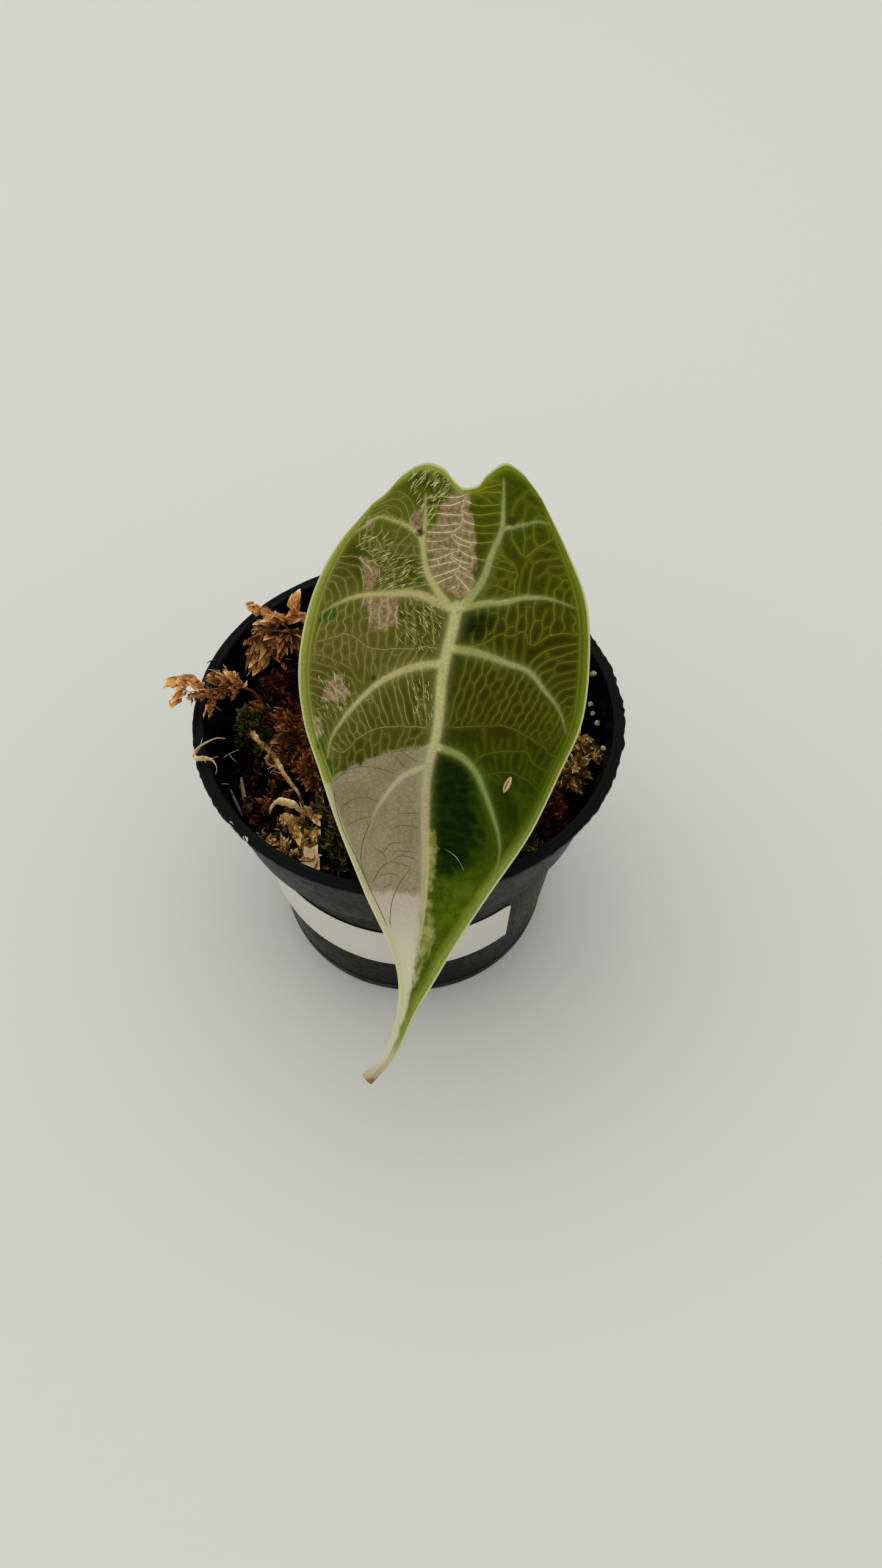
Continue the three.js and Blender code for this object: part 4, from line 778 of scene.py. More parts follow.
def fine_veins():
    """Every fine vein of the blade, as (strength, route) pairs. Above each main vein the rungs arch over
    to the margin; below it they run straight to a loop that crosses the panel."""
    random = np.random.default_rng(12)
    loops = {key: wandering(vein_route(points), random) for key, points in LOOPS.items()}
    pink = loops["pink_middle"][::-1]
    sinus = vein_route([(0.1, 0.12), (0.05, 0.3)])
    panels = []

    def main(key, first=0.0, last=1.0):
        return vein_route(MAIN_VEINS[key]["at"], first, last)

    def margin(side, first, last):
        return vein_route(margin_vein(np.linspace(first, last, 8), side))

    def net(strength, first, second, gap, *shape):
        panels.append((strength, rungs(first, second, gap, random, *shape)))

    net(1.6, main("left_basal", 0.12), pink, 1.5, 0, 0.02, 0.2, 9)
    net(1.6, main("right_basal", 0.1), pink, 1.55, 0, 0.1, 0.2, 9)
    net(0.7, main("right_basal", 0.72), sinus, 1.5, 0.2)
    net(0.8, main("left_basal", 0.2, 0.6), loops["left_lobe_inner"][::-1], 1.5, 0, -0.1)
    net(0.8, main("left_basal_fork"), loops["left_lobe_outer"][::-1], 1.6)
    net(0.8, loops["left_lobe_inner"], loops["left_lobe_outer"], 1.6)
    net(0.6, main("left_basal_fork", 0.1), margin(-1, 0.05, 0.9), 1.6, 0.6)
    net(0.8, main("left_upper", 0.55), margin(-1, 1.1, 1.95), 1.5, 0.8)
    net(1.0, main("left_upper", 0.12), loops["left_upper"], 1.5)
    net(0.8, main("left_middle", 0.12, 0.55), loops["left_upper"][:50], 1.5, 0.1, 0.05)
    net(0.8, main("left_middle", 0.5), margin(-1, 2.75, 4.05), 1.4, 0.8)
    net(0.7, loops["left_upper"][42:], vein_route([(3.1, -0.42), (2.95, -0.7), (2.9, -0.92)]), 1.5)
    net(0.9, main("left_middle", 0.1), loops["left_middle"], 1.4, 0, -0.03)
    net(0.6, loops["left_middle"], loops["sector_top"], 1.7)
    net(0.7, main("right_basal_fork", 0.1), margin(1, 0.05, 0.8), 1.6, 0.7)
    net(0.9, main("right_basal", 0.2, 0.62), loops["right_lobe_inner"][::-1], 1.5)
    net(0.8, main("right_basal_fork", 0.1), loops["right_lobe_outer"], 1.6, 0.2)
    net(0.5, main("right_upper", 0.12, 0.45), loops["right_lobe_inner"], 1.6)
    net(0.8, main("right_upper", 0.45), margin(1, 0.95, 1.95), 1.5, 0.85)
    net(0.9, main("right_upper", 0.12), loops["right_upper"], 1.6)
    net(0.7, main("right_middle", 0.15, 0.5), loops["right_upper"][:50], 1.6, 0.1)
    net(0.8, main("right_middle", 0.48), margin(1, 2.6, 4.1), 1.35, 0.85)
    net(0.8, main("right_middle", 0.1), loops["right_middle"], 1.4, 0, -0.04)
    net(0.6, loops["right_middle"][15:], loops["right_low"], 1.7)
    net(0.6, loops["right_low"], loops["right_fork"], 1.6)
    net(0.5, loops["right_fork"], margin(1, 5.4, 6.4), 1.8, 0.3)
    net(0.4, main("right_lower", 0.3), margin(1, 6.1, 7.6), 2.0, 0.6)
    net(0.35, vein_route([(5.0, 0.05), (6.3, 0.05)]), main("right_lower", 0.3), 1.9)
    panels.append((0.8, [(1.0, loop) for loop in loops.values()]))
    panels.append((0.8, [(1.0, margin_vein(np.linspace(0.35, 9.2, 60), side)) for side in (-1, 1)]))
    return [(min(strength * share, 1.3), vein) for strength, veins in panels for share, vein in veins]


def leaf_places(spots):
    """The [row, across] of some places in millimetres: for each, the nearest point of a fine grid."""
    row, across = np.meshgrid(np.linspace(0, 12, 900), np.linspace(-1, 1, 400), indexing="ij")
    place, _ = blade_plane(row, across)
    nearest = [((place - np.array(spot)) ** 2).sum(-1).argmin() for spot in spots]
    return np.stack([row.ravel()[nearest], across.ravel()[nearest]], -1)


def fleck_dashes():
    """Short pale dashes inside each flecked patch, at random places, most of them running one way."""
    random = np.random.default_rng(14)
    dashes = []
    for outline, way, count in FLECK_REGIONS:
        corners = np.array(outline)
        tries = random.uniform(FLECK_SPAN["low"], FLECK_SPAN["high"], (FLECK_TRIES, 2))
        place, half_width = blade_plane(*tries.T)
        near = ((place > corners.min(0)) & (place < corners.max(0))).all(-1)
        tries, place, half_width = tries[near], place[near], half_width[near]
        inside = region_depth(place, [outline]) + random.uniform(-0.9, 0.3, len(place)) > 0
        chosen, half_width = tries[inside][:count], half_width[inside][:count]
        turn = np.arctan2(way[1], way[0]) + random.normal(0, 0.2, len(chosen))
        length = random.uniform(0.4, 1.5, len(chosen)) ** 1.2
        step = np.stack([-np.sin(turn) * length / 10, np.cos(turn) * length / half_width], -1) / 2
        bow = random.normal(0, 1, chosen.shape) * [0.003, 0.0015]
        dashes += [(random.uniform(0.35, 1.0), np.array([a - s, a + b, a + s]))
                   for a, s, b in zip(chosen, step, bow)]
    return dashes + [(strength, leaf_places(line)) for strength, line in SCRATCHES]


def rib_fields(place):
    """How much of a main vein stands at each place, a flat core with a soft skirt, weaker where the vein
    is thin; and the distance to the nearest main vein."""
    rib = np.zeros(place.shape[:-1])
    clear = np.full(place.shape[:-1], FAR)
    for vein in [MIDRIB, *MAIN_VEINS.values()]:
        dense = spline(vein["at"], np.linspace(0, len(vein["at"]) - 1, 60))
        path = along_path(blade_plane(*dense.T)[0], 50)
        gap, width = near_path(place, path, np.linspace(*vein["width"], len(path)))
        core = 0.62 * (1 - smooth(0.45, 1.15, gap / width)) + 0.38 * bell(gap, 0, 1.35 * width + 0.05)
        rib = np.maximum(rib, core * np.clip(width / 0.4, 0, 1))
        clear = np.minimum(clear, gap)
    return rib, clear


def leaf_fields(row, across, vein_steps):
    """Everything that the leaf's colour and relief depend on, at each place of its grid."""
    place, _ = blade_plane(row, across)
    top, _ = blade_plane(np.zeros_like(row), across)
    side_edge, _ = blade_plane(row, np.where(across < 0, -1.0, 1.0))
    middle, _ = blade_plane(row, np.zeros_like(row))
    edge = np.minimum(np.linalg.norm(place - top, axis=-1), np.linalg.norm(place - side_edge, axis=-1))
    rib, clear = rib_fields(place)
    x, y = place[..., 0], place[..., 1]
    spots = [np.clip(1 - np.hypot(x - spot_x, y - spot_y) / r, 0, 1) for spot_x, spot_y, r in DARK_SPOTS]
    # The dark field is the painted shade right of the midrib.
    regions = dict(pink=PINK_REGIONS, green=GREEN_REGIONS, dark=MIDRIB_SHADE_REGIONS, strip=[MIDRIB_STRIP],
                   fleck=[outline for outline, _, _ in FLECK_REGIONS[:FLECKS_ON_DARK]])
    return dict(
        rib=rib, edge=edge, inner=smooth(0.6, 4.2, clear) * smooth(1.6, 4.5, edge),
        side=np.clip(across * 12, -1, 1), down=-y, light=LIGHT_LINE_Y - y, spot=np.max(spots, 0),
        pale=np.minimum(np.interp(x, *np.array(PALE_SECTOR_TOP).T) - y, middle[..., 0] - x),
        net=net_share(row, across, place, vein_steps) * np.where(across < 0, 0.6, 1.0),
        **{key: region_depth(place, outlines) for key, outlines in regions.items()},
    )


def net_share(row, across, place, vein_steps):
    """How strongly the nearest fine vein shows in the skin round it: fading over half a millimetre."""
    rows, columns = row.shape
    gap = np.full(rows * columns, FAR)
    i0 = np.rint(vein_steps[:, 0] / row.max() * (rows - 1)).astype(int)
    j0 = np.rint((vein_steps[:, 1] + 1) / 2 * (columns - 1)).astype(int)
    spot, _ = blade_plane(*vein_steps.T)
    for di in range(-5, 6):
        for dj in range(-6, 7):
            i, j = i0 + di, j0 + dj
            ok = (i >= 0) & (i < rows) & (j >= 0) & (j < columns)
            flat = i[ok] * columns + j[ok]
            np.minimum.at(gap, flat, np.linalg.norm(place[i[ok], j[ok]] - spot[ok], axis=-1))
    return NET["glow"] * bell(gap.reshape(rows, columns), 0, NET["spread"])


def pick(values, row, across):
    """Reads a grid over the whole blade at any places, straight between its points."""
    rows, columns = values.shape[:2]
    u = np.clip(row / (len(BLADE_ROWS) - 1) * (rows - 1), 0, rows - 1.001)
    v = np.clip((across + 1) / 2 * (columns - 1), 0, columns - 1.001)
    i, j = u.astype(int), v.astype(int)
    s, t = u - i, v - j
    if values.ndim == 3:
        s, t = s[..., None], t[..., None]
    low = values[i, j] * (1 - t) + values[i, j + 1] * t
    high = values[i + 1, j] * (1 - t) + values[i + 1, j + 1] * t
    return low * (1 - s) + high * s


def leaf_values(f):
    """What every layer of the leaf's colour goes by. down counts millimetres below the heart, edge those
    in from the margin, and side runs from -1 on the left of the midrib to 1 on its right."""
    keys = ("rib", "edge", "inner", "side", "down", "net", "under", "dark", "spot")
    v = SimpleNamespace(**{key: f.attribute(key) for key in keys})
    v.mottle = f.noise(320, 4, 0.65)
    v.cloud = f.noise(110, 3, 0.5)
    v.fine = f.noise(1700, 3, 0.6)
    v.right = f.ramp(v.side, -0.3, 0.3)
    v.lower = f.times(f.ramp(v.down, 8, 34), v.right)
    wander = f.times(f.plus(f.noise(700, 4, 0.65, stretch=(1, 0.5, 0.5)), -0.5), 3.4)
    v.region = lambda key, low, high: f.ramp(f.plus(f.attribute(key), wander), low, high)
    v.pale = v.region("pale", -0.6, 0.5)
    return v


def leaf_ground(f, v):
    """Olive panels that change from the lobes to the tip and from the left half to the right, browner at
    their hearts, greener by the veins and the margin."""
    fallen = f.plus(v.down, 16.0)
    left = f.stops(f.times(fallen, 1 / 44), (0.0, (72, 86, 6)), (0.17, (50, 58, 1)), (0.45, (94, 84, 26)),
                   (0.75, (66, 63, 4)), (1.0, (50, 55, 1)))
    right = f.stops(f.times(fallen, 1 / 76), (0.0, (66, 74, 5)), (0.28, (50, 47, 1)), (0.47, (48, 48, 1)),
                    (0.7, (31, 48, 1)), (0.82, (40, 56, 1)), (0.96, (76, 92, 6)))
    hearts = f.mix(v.right, left, right)
    greens = f.mix(0.45, hearts, f.mix(v.right, (92, 100, 12), (60, 78, 1)))
    brown = f.times(v.inner, f.ramp(v.cloud, 0.25, 0.55, 0.35, 1.0))
    bright = f.times(f.times(f.ramp(v.down, 41, 52), v.right), f.ramp(f.noise(240, 4, 0.7), 0.42, 0.64))
    return f.lay(
        f.mix(brown, greens, hearts),
        (f.ramp(v.mottle, 0.4, 0.75, 0.0, 0.3), f.mix(v.right, (112, 102, 44), (82, 88, 4))),
        (f.ramp(v.fine, 0.35, 0.7, 0.0, 0.4), f.mix(v.right, (48, 52, 3), (26, 34, 1))),
        (f.times(f.ramp(v.edge, 2.9, 1.2), 0.6), f.mix(v.right, (128, 136, 50), (98, 108, 16))),
        (f.times(bright, 0.5), (96, 118, 18)))


def leaf_patches(f, v, colour):
    """Patches over the ground, their outlines wandering: painted shade in dark green right of the midrib,
    the lighter low margin, bright green, flecked, the strip by the midrib, pink, and the sector without
    green, brownish above cream."""
    shade_streaks = f.ramp(f.noise(1000, 3, 0.6, stretch=(0.2, 1, 1)), 0.38, 0.66, 0.97, 0.7)
    low_edge = f.times(f.ramp(v.edge, 3.2, 1.3), f.ramp(v.down, 32, 52))
    flecked = f.times(v.region("fleck", -1.6, 1.0), f.ramp(f.noise(480, 4, 0.7), 0.42, 0.56))
    brownish = f.lay(
        f.mix(f.ramp(v.cloud, 0.3, 0.7), (130, 117, 86), (147, 137, 106)),
        (f.ramp(f.cells(900, "DISTANCE_TO_EDGE"), 0.1, 0.0, 0.0, 0.4), (104, 90, 64)),
        (f.ramp(v.fine, 0.5, 0.8, 0.0, 0.35), (186, 176, 148)))
    cream = f.mix(f.ramp(v.down, 51, 66), f.mix(v.fine, (166, 151, 130), (196, 186, 166)),
                  f.mix(v.mottle, (188, 188, 152), (206, 208, 182)))
    return f.lay(
        colour,
        # Painted shade: the patches right of the midrib go very dark green, broken into streaks.
        (f.times(v.region("dark", -2.4, 1.6), shade_streaks), (4, 25, 0)),
        (f.times(low_edge, f.ramp(v.mottle, 0.3, 0.7, 0.55, 0.9)), (132, 148, 58)),
        (v.region("green", -0.15, 0.15), (46, 74, 4)),
        (f.times(flecked, 0.75), (44, 58, 2)),
        (f.times(v.region("strip", -0.5, 0.6), 0.95),
         f.mix(f.ramp(v.mottle, 0.35, 0.65), (84, 98, 16), (156, 160, 92))),
        (f.times(v.region("pink", -0.3, 0.4), 0.92),
         f.mix(f.ramp(v.fine, 0.3, 0.7), (110, 84, 54), (154, 130, 100))),
        (v.pale, f.mix(v.region("light", -1.0, 0.8), brownish, cream)))


def leaf_veins(f, v, colour):
    """The fine net, weaker where the blade is pale or painted dark as shade, then the main veins, palest at
    the midrib and thinning out towards the tip, and the dark spots where veins part."""
    net_tint = f.lay(f.mix(v.right, (178, 172, 98), (138, 146, 38)),
                     (v.region("pink", -0.6, 0.3), (226, 218, 156)), (v.lower, (88, 108, 8)))
    shown = f.times(f.times(v.net, f.ramp(v.fine, 0.25, 0.6, 0.6, 1.0)), f.ramp(v.pale, 0.0, 1.0, 0.85, 0.1))
    # The net fades under the painted shade right of the midrib.
    shown = f.times(shown, f.ramp(v.dark, -0.5, 1.5, 1.0, 0.25))
    rib_tint = f.lay(
        f.mix(v.right, (184, 176, 116), (154, 160, 94)),
        (f.times(v.lower, 0.5), (108, 126, 48)),
        (f.ramp(f.math("ABSOLUTE", v.side), 0.95, 0.45), (192, 190, 130)),
        (f.times(f.ramp(v.side, 0.5, 0.1), f.ramp(v.down, 20, 30)), (178, 168, 134)),
        (f.ramp(v.fine, 0.4, 0.75, 0.0, 0.35), (128, 132, 66)))
    speckle = f.ramp(f.noise(2400, 3, 0.65), 0.36, 0.66, 1.0, 0.78)
    rib = f.times(f.times(v.rib, speckle), f.ramp(v.down, 50, 66, 0.98, 0.3))
    spot = f.ramp(v.spot, 0.1, 0.6, 0.0, 0.85)
    return f.lay(colour, (shown, net_tint), (rib, rib_tint), (spot, (62, 46, 8)))


def leaf_margin(f, v, colour):
    """A light band and a paler rim round the blade, and the drawn-out tip, pale and then dry and brown."""
    band = f.lay(
        f.mix(f.ramp(v.down, 20, 50), f.mix(v.right, (150, 160, 70), (118, 128, 34)), (142, 152, 70)),
        (f.ramp(v.fine, 0.4, 0.7, 0.0, 0.4), (84, 98, 14)), (v.pale, (190, 188, 138)))
    paler = f.math("MAXIMUM", v.pale, f.ramp(v.down, 20, 50))
    leaning = f.plus(v.side, f.times(f.ramp(v.down, 76, 92), -2.0))
    return f.lay(
        colour,
        (f.times(f.ramp(v.edge, 1.5, 0.9), 0.7), band),
        (f.times(f.ramp(v.edge, 0.55, 0.2), 0.92), f.mix(paler, (190, 196, 140), (198, 200, 156))),
        (f.times(f.ramp(v.down, 74, 84), f.ramp(leaning, 0.9, -0.7)),
         f.mix(f.ramp(v.down, 84, 91), (194, 194, 164), (174, 150, 114))),
        (f.ramp(v.down, 88.6, 89.6, 0.0, 0.7), (112, 76, 40)))


def leaf_finish():
    """The leaf's skin: its layers of colour in turn, and a plain under side with paler veins."""
    f = Finish("leaf_skin")
    v = leaf_values(f)
    colour = leaf_ground(f, v)
    for layer in (leaf_patches, leaf_veins, leaf_margin):
        colour = layer(f, v, colour)
    back = f.lay((112, 104, 62), (v.pale, (180, 160, 134)), (v.rib, (156, 156, 106)))
    f.set(Base_Color=f.mix(v.under, colour, back), Specular_IOR_Level=0.025)
    f.set(Roughness=f.ramp(v.mottle, 0.3, 0.8, 0.5, 0.62))
    f.bump(f.plus(f.noise(2600, 2, 0.5), f.times(v.mottle, 0.6)), 0.03, 0.5)
    return f.material


def sewn(fine, rough):
    """Three triangles at each step of the rough border, which sew it to two steps of the fine one."""
    k = 2 * np.arange(len(rough))
    a, b, c = fine[k], fine[k + 1], fine[(k + 2) % len(fine)]
    p, q = rough, np.roll(rough, -1)
    return np.concatenate([np.stack(corners, -1) for corners in ((a, b, p), (b, q, p), (b, c, q))])


def leaf_blade():
    """The blade as one closed skin: a fine upper grid and an under grid with half as many cells each
    way, sewn together round the margin, where the thickness runs out to nothing. Its fine veins, the
    crests of its main ones, its dark veins and its flecks are laid on the upper face."""
    skin = leaf_finish()
    rows, columns = UPPER_GRID[0] + 1, UPPER_GRID[1] + 1
    row, across = np.meshgrid(
        np.linspace(0, len(BLADE_ROWS) - 1, rows), np.linspace(-1, 1, columns), indexing="ij")
    net = [(strength, *even_steps(vein, LINE_STEP), FINE_WIDTH) for strength, vein in fine_veins()]
    fields = leaf_fields(row, across, np.concatenate([path for _, path, _, _ in net]))
    taper = smooth(0, 1.3, fields["edge"])
    quilt = QUILT_HEIGHT * (1 - fields["net"]) * smooth(0.8, 2.5, fields["edge"]) * (1 - fields["rib"])
    lift = BLADE_THICKNESS / 2 * taper + RIB_HEIGHT * fields["rib"] * taper + quilt
    upper = blade_point(row, across, lift)
    sparse = (slice(None, None, 2), slice(None, None, 2))
    depth = BLADE_THICKNESS / 2 * taper + RIB_DEPTH * (fields["rib"] * taper) ** 1.5
    lower = blade_point(row[sparse], across[sparse], -depth[sparse])
    first = rows * columns
    faces = [
        grid_faces(rows, columns)[:, ::-1],
        grid_faces(*lower.shape[:2], first=first),
        sewn(rim_indices(rows, columns), first + rim_indices(*lower.shape[:2])),
    ]
    points = np.concatenate([upper.reshape(-1, 3), lower.reshape(-1, 3)])
    both = {key: np.concatenate([v.ravel(), v[sparse].ravel()]) for key, v in fields.items()}
    both["under"] = np.repeat([0.0, 1.0], [first, len(points) - first])
    settle(put_mesh("leaf_blade_skin", points, faces, skin, both), "leaf_skin", "leaf_blade")

    crests = []
    for vein in MAIN_VEINS.values():
        path, run = even_steps(vein["at"], LINE_STEP)
        crests.append((0.75, path, run, 0.5 * np.linspace(*vein["width"], len(path))))
    dark = [(1.0, *even_steps(vein, LINE_STEP), DARK_WIDTH) for vein in DARK_VEINS]
    flecks = [(share, *even_steps(dash, 0.25), 0.05 + 0.07 * share) for share, dash in fleck_dashes()]
    for name, lines, material, field in (
        ("leaf_fine_veins", net, skin, "net"),
        ("leaf_main_vein_cores", crests, skin, "rib"),
        ("leaf_dark_veins", dark, dark_vein_finish(), "net"),
        ("leaf_flecks", flecks, fleck_finish(), "net"),
    ):
        settle(vein_lines(name, lines, upper, fields, material, field), "leaf_skin")


def rim_indices(rows, columns):
    """The points round a grid's border, in order, starting from its first corner."""
    index = np.arange(rows * columns).reshape(rows, columns)
    return np.concatenate([index[0, :-1], index[:-1, -1], index[-1, :0:-1], index[:0:-1, 0]])


def dark_vein_finish():
    """Two browns, mottled."""
    f = Finish("vein_brown")
    f.set(Base_Color=f.mix(f.noise(400, 2), (64, 50, 24), (96, 80, 50)), Roughness=0.6)
    return f.material


def fleck_finish():
    """Cream to olive, mottled."""
    f = Finish("fleck_cream")
    f.set(Base_Color=f.mix(f.ramp(f.noise(900, 3), 0.35, 0.65), (122, 128, 52), (202, 196, 142)))
    f.set(Roughness=0.6, Specular_IOR_Level=0.1)
    return f.material


def vein_lines(name, paths, upper, fields, material, field):
    """Each vein as a low rounded line on the upper face: three points across it at every step, the outer
    two sunk just under the skin, its width and its share of one field falling off to both ends. A path is
    (strength, places, run in millimetres, half width)."""
    points, faces, values, first = [], [], {k: [] for k in fields}, 0
    for strength, path, run, half_width in paths:
        rows, across = path.T
        heading = unit(np.gradient(blade_plane(rows, across)[0], axis=0))
        ends = np.minimum(run, run[-1] - run)
        half = half_width * (0.5 + 0.5 * smooth(0, 0.9, ends))
        here = pick(upper, rows, across)
        sideways = unit(np.stack([-heading[:, 1], heading[:, 0]], -1))
        shift = sideways[:, :1] * FACE_ACROSS + sideways[:, 1:] * FACE_UP
        line = np.stack([
            here + half[:, None] * shift - LINE_SUNK * FACE_OUT,
            here + LINE_HEIGHT * FACE_OUT,
            here - half[:, None] * shift - LINE_SUNK * FACE_OUT,
        ], 1)
        points.append(line.reshape(-1, 3))
        faces.append(grid_faces(len(path), 3, first=first)[:, ::-1])
        first += 3 * len(path)
        for key, grid in fields.items():
            values[key].append(np.repeat(pick(grid, rows, across), 3))
        shown = strength * (0.6 + 0.4 * smooth(0, 0.5, ends))[:, None] * [0.45, 1.0, 0.45]
        values[field][-1] = np.maximum(shown.ravel(), values[field][-1] if field == "rib" else 0)
    merged = {k: np.concatenate(v) for k, v in values.items()}
    merged["under"] = np.zeros(first)
    return put_mesh(name, np.concatenate(points), [np.concatenate(faces)], material, merged)


def tube(path, radii, sides, guide=(0.31, 0.47, 0.83)):
    """Rings round a path: at each step a circle of its radius, square to the way the path runs, its
    ends drawn to points. Gives points and faces."""
    path = np.asarray(path, float)
    radii = np.broadcast_to(radii, (len(path),))
    ahead = unit(np.gradient(path, axis=0))
    ring = around(ahead[:, None], azimuths(sides)[:, None], guide)
    points = path[:, None] + radii[:, None, None] * ring
    count = len(path) * sides
    ends = np.array([path[0] - ahead[0] * radii[0] * 0.6, path[-1] + ahead[-1] * radii[-1] * 0.6])
    k = np.arange(sides)
    start = np.stack([np.full(sides, count), (k + 1) % sides, k], -1)
    stop = np.stack([np.full(sides, count + 1), count - sides + k, count - sides + (k + 1) % sides], -1)
    return np.concatenate([points.reshape(-1, 3), ends]), [
        grid_faces(len(path), sides, closed=True), start, stop]


def join_shapes(shapes):
    """Several (points, face arrays) shapes as one."""
    faces, first = [], 0
    for points, face_sets in shapes:
        faces += [f + first for f in face_sets]
        first += len(points)
    return np.concatenate([points for points, _ in shapes]), faces


def stalk_finish():
    """Pale green skin with fine streaks along it, pinkish at the foot."""
    f = Finish("stalk_skin")
    streak = f.noise(900, 4, 0.6, stretch=(1, 1, 0.12))
    colour = f.mix(f.ramp(streak, 0.35, 0.65), (116, 128, 66), (150, 156, 98))
    f.set(Base_Color=f.mix(f.attribute("foot"), colour, (176, 142, 116)), Roughness=0.42)
    f.bump(streak, 0.05, 0.6)
    return f.material


def leaf_stalk():
    """A round stalk that thins upwards and swells a little under the blade, with a sheath that stands out
    behind its foot as the square of the way round, and a narrow groove up its back."""
    top = unit(STALK_TOP_DIRECTION)
    end = HEART - top * 3.0
    steps, sides = STALK["steps"], STALK["sides"]
    path = along_path(np.concatenate([STALK_PATH, [end - top * 6, end, HEART - top * 0.6]]), steps)
    share = np.linspace(0, 1, steps)
    thinned = np.minimum(1, share / STALK["thin_by"])
    radii = STALK["foot_radius"] + (STALK["radius"] - STALK["foot_radius"]) * thinned
    points, faces = tube(path, radii + STALK["top_swell"] * smooth(0.82, 1.0, share), sides, (0, 1, 0))
    rings = points[:-2].reshape(steps, sides, 3)
    away = unit(rings - path[:, None])
    low = np.clip(1 - share / STALK["sheath_to"], 0, None)[:, None]
    sheath = STALK["sheath"] * low * np.clip(away[..., 1], 0, None) ** 2
    groove = STALK["groove"] * bell(away[..., 1], 1, 0.04) * smooth(0.05, 0.2, share)[:, None]
    rings += (sheath - groove)[..., None] * away
    points[:-2] = rings.reshape(-1, 3)
    foot = np.concatenate([np.repeat(1 - smooth(0.02, 0.22, share), sides), [1, 0]])
    stalk = put_mesh("leaf_stalk_skin", points, faces, stalk_finish(), dict(foot=foot))
    settle(stalk, "stalk_skin", "leaf_stalk")


# Pot

def body_outer(z):
    """The body's outer radius at a height: a straight draft from its base to the step."""
    return POT["base_radius"] + (POT["body_radius"] - POT["base_radius"]) * z / POT["step_z"]


def inner_radius(z):
    """The pot's inner radius at a height: the body's less its wall, then a straight collar to the rim."""
    foot = POT["step_z"] + POT["wall"]
    low = POT["collar_foot"] - POT["wall"]
    share = np.clip((z - foot) / (POT["height"] - foot), 0, 1)
    collar = low + (POT["rim_radius"] - POT["rim_width"] - low) * share
    return np.where(z < foot, body_outer(z) - POT["wall"], collar)


def rounded(corners, steps=4):
    """A profile of (radius, height, corner radius) whose corners are each turned over their own radius."""
    corners = np.array(corners, float)
    places = corners[:, :2]
    t = np.linspace(0, 1, steps)[:, None]
    out = [places[:1]]
    for before, here, after, radius in zip(places[:-2], places[1:-1], places[2:], corners[1:-1, 2]):
        into, onward = before - here, after - here
        reach = min(radius, 0.45 * np.linalg.norm(into), 0.45 * np.linalg.norm(onward))
        out.append(turned(here + unit(into) * reach, here, here + unit(onward) * reach, t))
    return np.concatenate([*out, places[-1:]])


def pot_profile():
    """The pot's section as (radius, height): under the base, up outside, over the rim and down inside."""
    height, rim, base, body = (POT[key] for key in ("height", "rim_radius", "base_radius", "body_radius"))
    step, foot, top, wall = (POT[key] for key in ("step_z", "collar_foot", "collar_top", "wall"))
    lip = height - POT["rim_thickness"]
    return rounded([
        (0.01, 0, 0), (base - 2.6, 0, 0.3), (base - 2.2, 0.5, 0.3), (base - 1.4, 0.5, 0.3),
        (base - 1.0, 0, 0.3), (base, 0, 0.5), (body_outer(3.4) + 0.15, 3.4, 0.2),
        (body_outer(3.8), 3.8, 0.2), (body, step, 0.5), (foot, step, 0.6), (top - 0.25, lip - 2.6, 0.4),
        (top - 0.1, lip - 2.3, 0.4),
        (top, lip, 0.3), (rim, lip, 0.15), (rim, height - 0.25, 0.2), (rim - 0.7, height, 0.2),
        (rim - 1.15, height - 0.22, 0.2), (rim - 1.5, height, 0.2), (rim - POT["rim_width"], height, 0.5),
        (inner_radius(height - 3), height - 3, 0.4), (inner_radius(height - 3.4) - 0.12, height - 3.4, 0.3),
        (foot - wall, step + wall, 0.4), (body - wall, step + wall, 0.4), (base - wall, wall, 0.8),
        (0.01, wall, 0),
    ])


def nursery_pot():
    """A rounded profile turned about the upright axis, its thin rim's outer edge left ragged by the
    trimming: small teeth, strongest on the right and at the lower left."""
    sectors = POT["sectors"]
    profile = pot_profile()
    azimuth = azimuths(sectors)
    radius, z = profile[:, :1], profile[:, 1:]
    wear = np.full(sectors, RIM_TEETH["everywhere"])
    for middle, spread, strength in RIM_WEAR:
        wear += strength * bell(azimuth, middle, spread)
    teeth = np.random.default_rng(5).uniform(-1, 1, sectors)
    teeth = 0.6 * teeth + 0.4 * np.roll(teeth, 1)
    above_lip = profile[:, 1] > POT["height"] - POT["rim_thickness"] - 0.3
    at_rim = (bell(profile[:, 0], POT["rim_radius"], 0.35) * above_lip)[:, None]
    radius = radius + at_rim * (RIM_TEETH["out"] * wear * teeth)
    z = z + at_rim * RIM_TEETH["up"] * (wear * np.roll(teeth, 3))
    oval = POT["oval"] * np.cos(2 * azimuth + 0.6) * smooth(0.5, 1.0, profile[:, 1] / POT["height"])[:, None]
    faces = grid_faces(len(profile), sectors, closed=True)
    pot = put_mesh("nursery_pot_shell", polar(radius + oval, azimuth, z), [faces], pot_finish())
    close_axis(pot)
    drain_holes(pot)
    settle(pot, "pot_plastic", "nursery_pot")


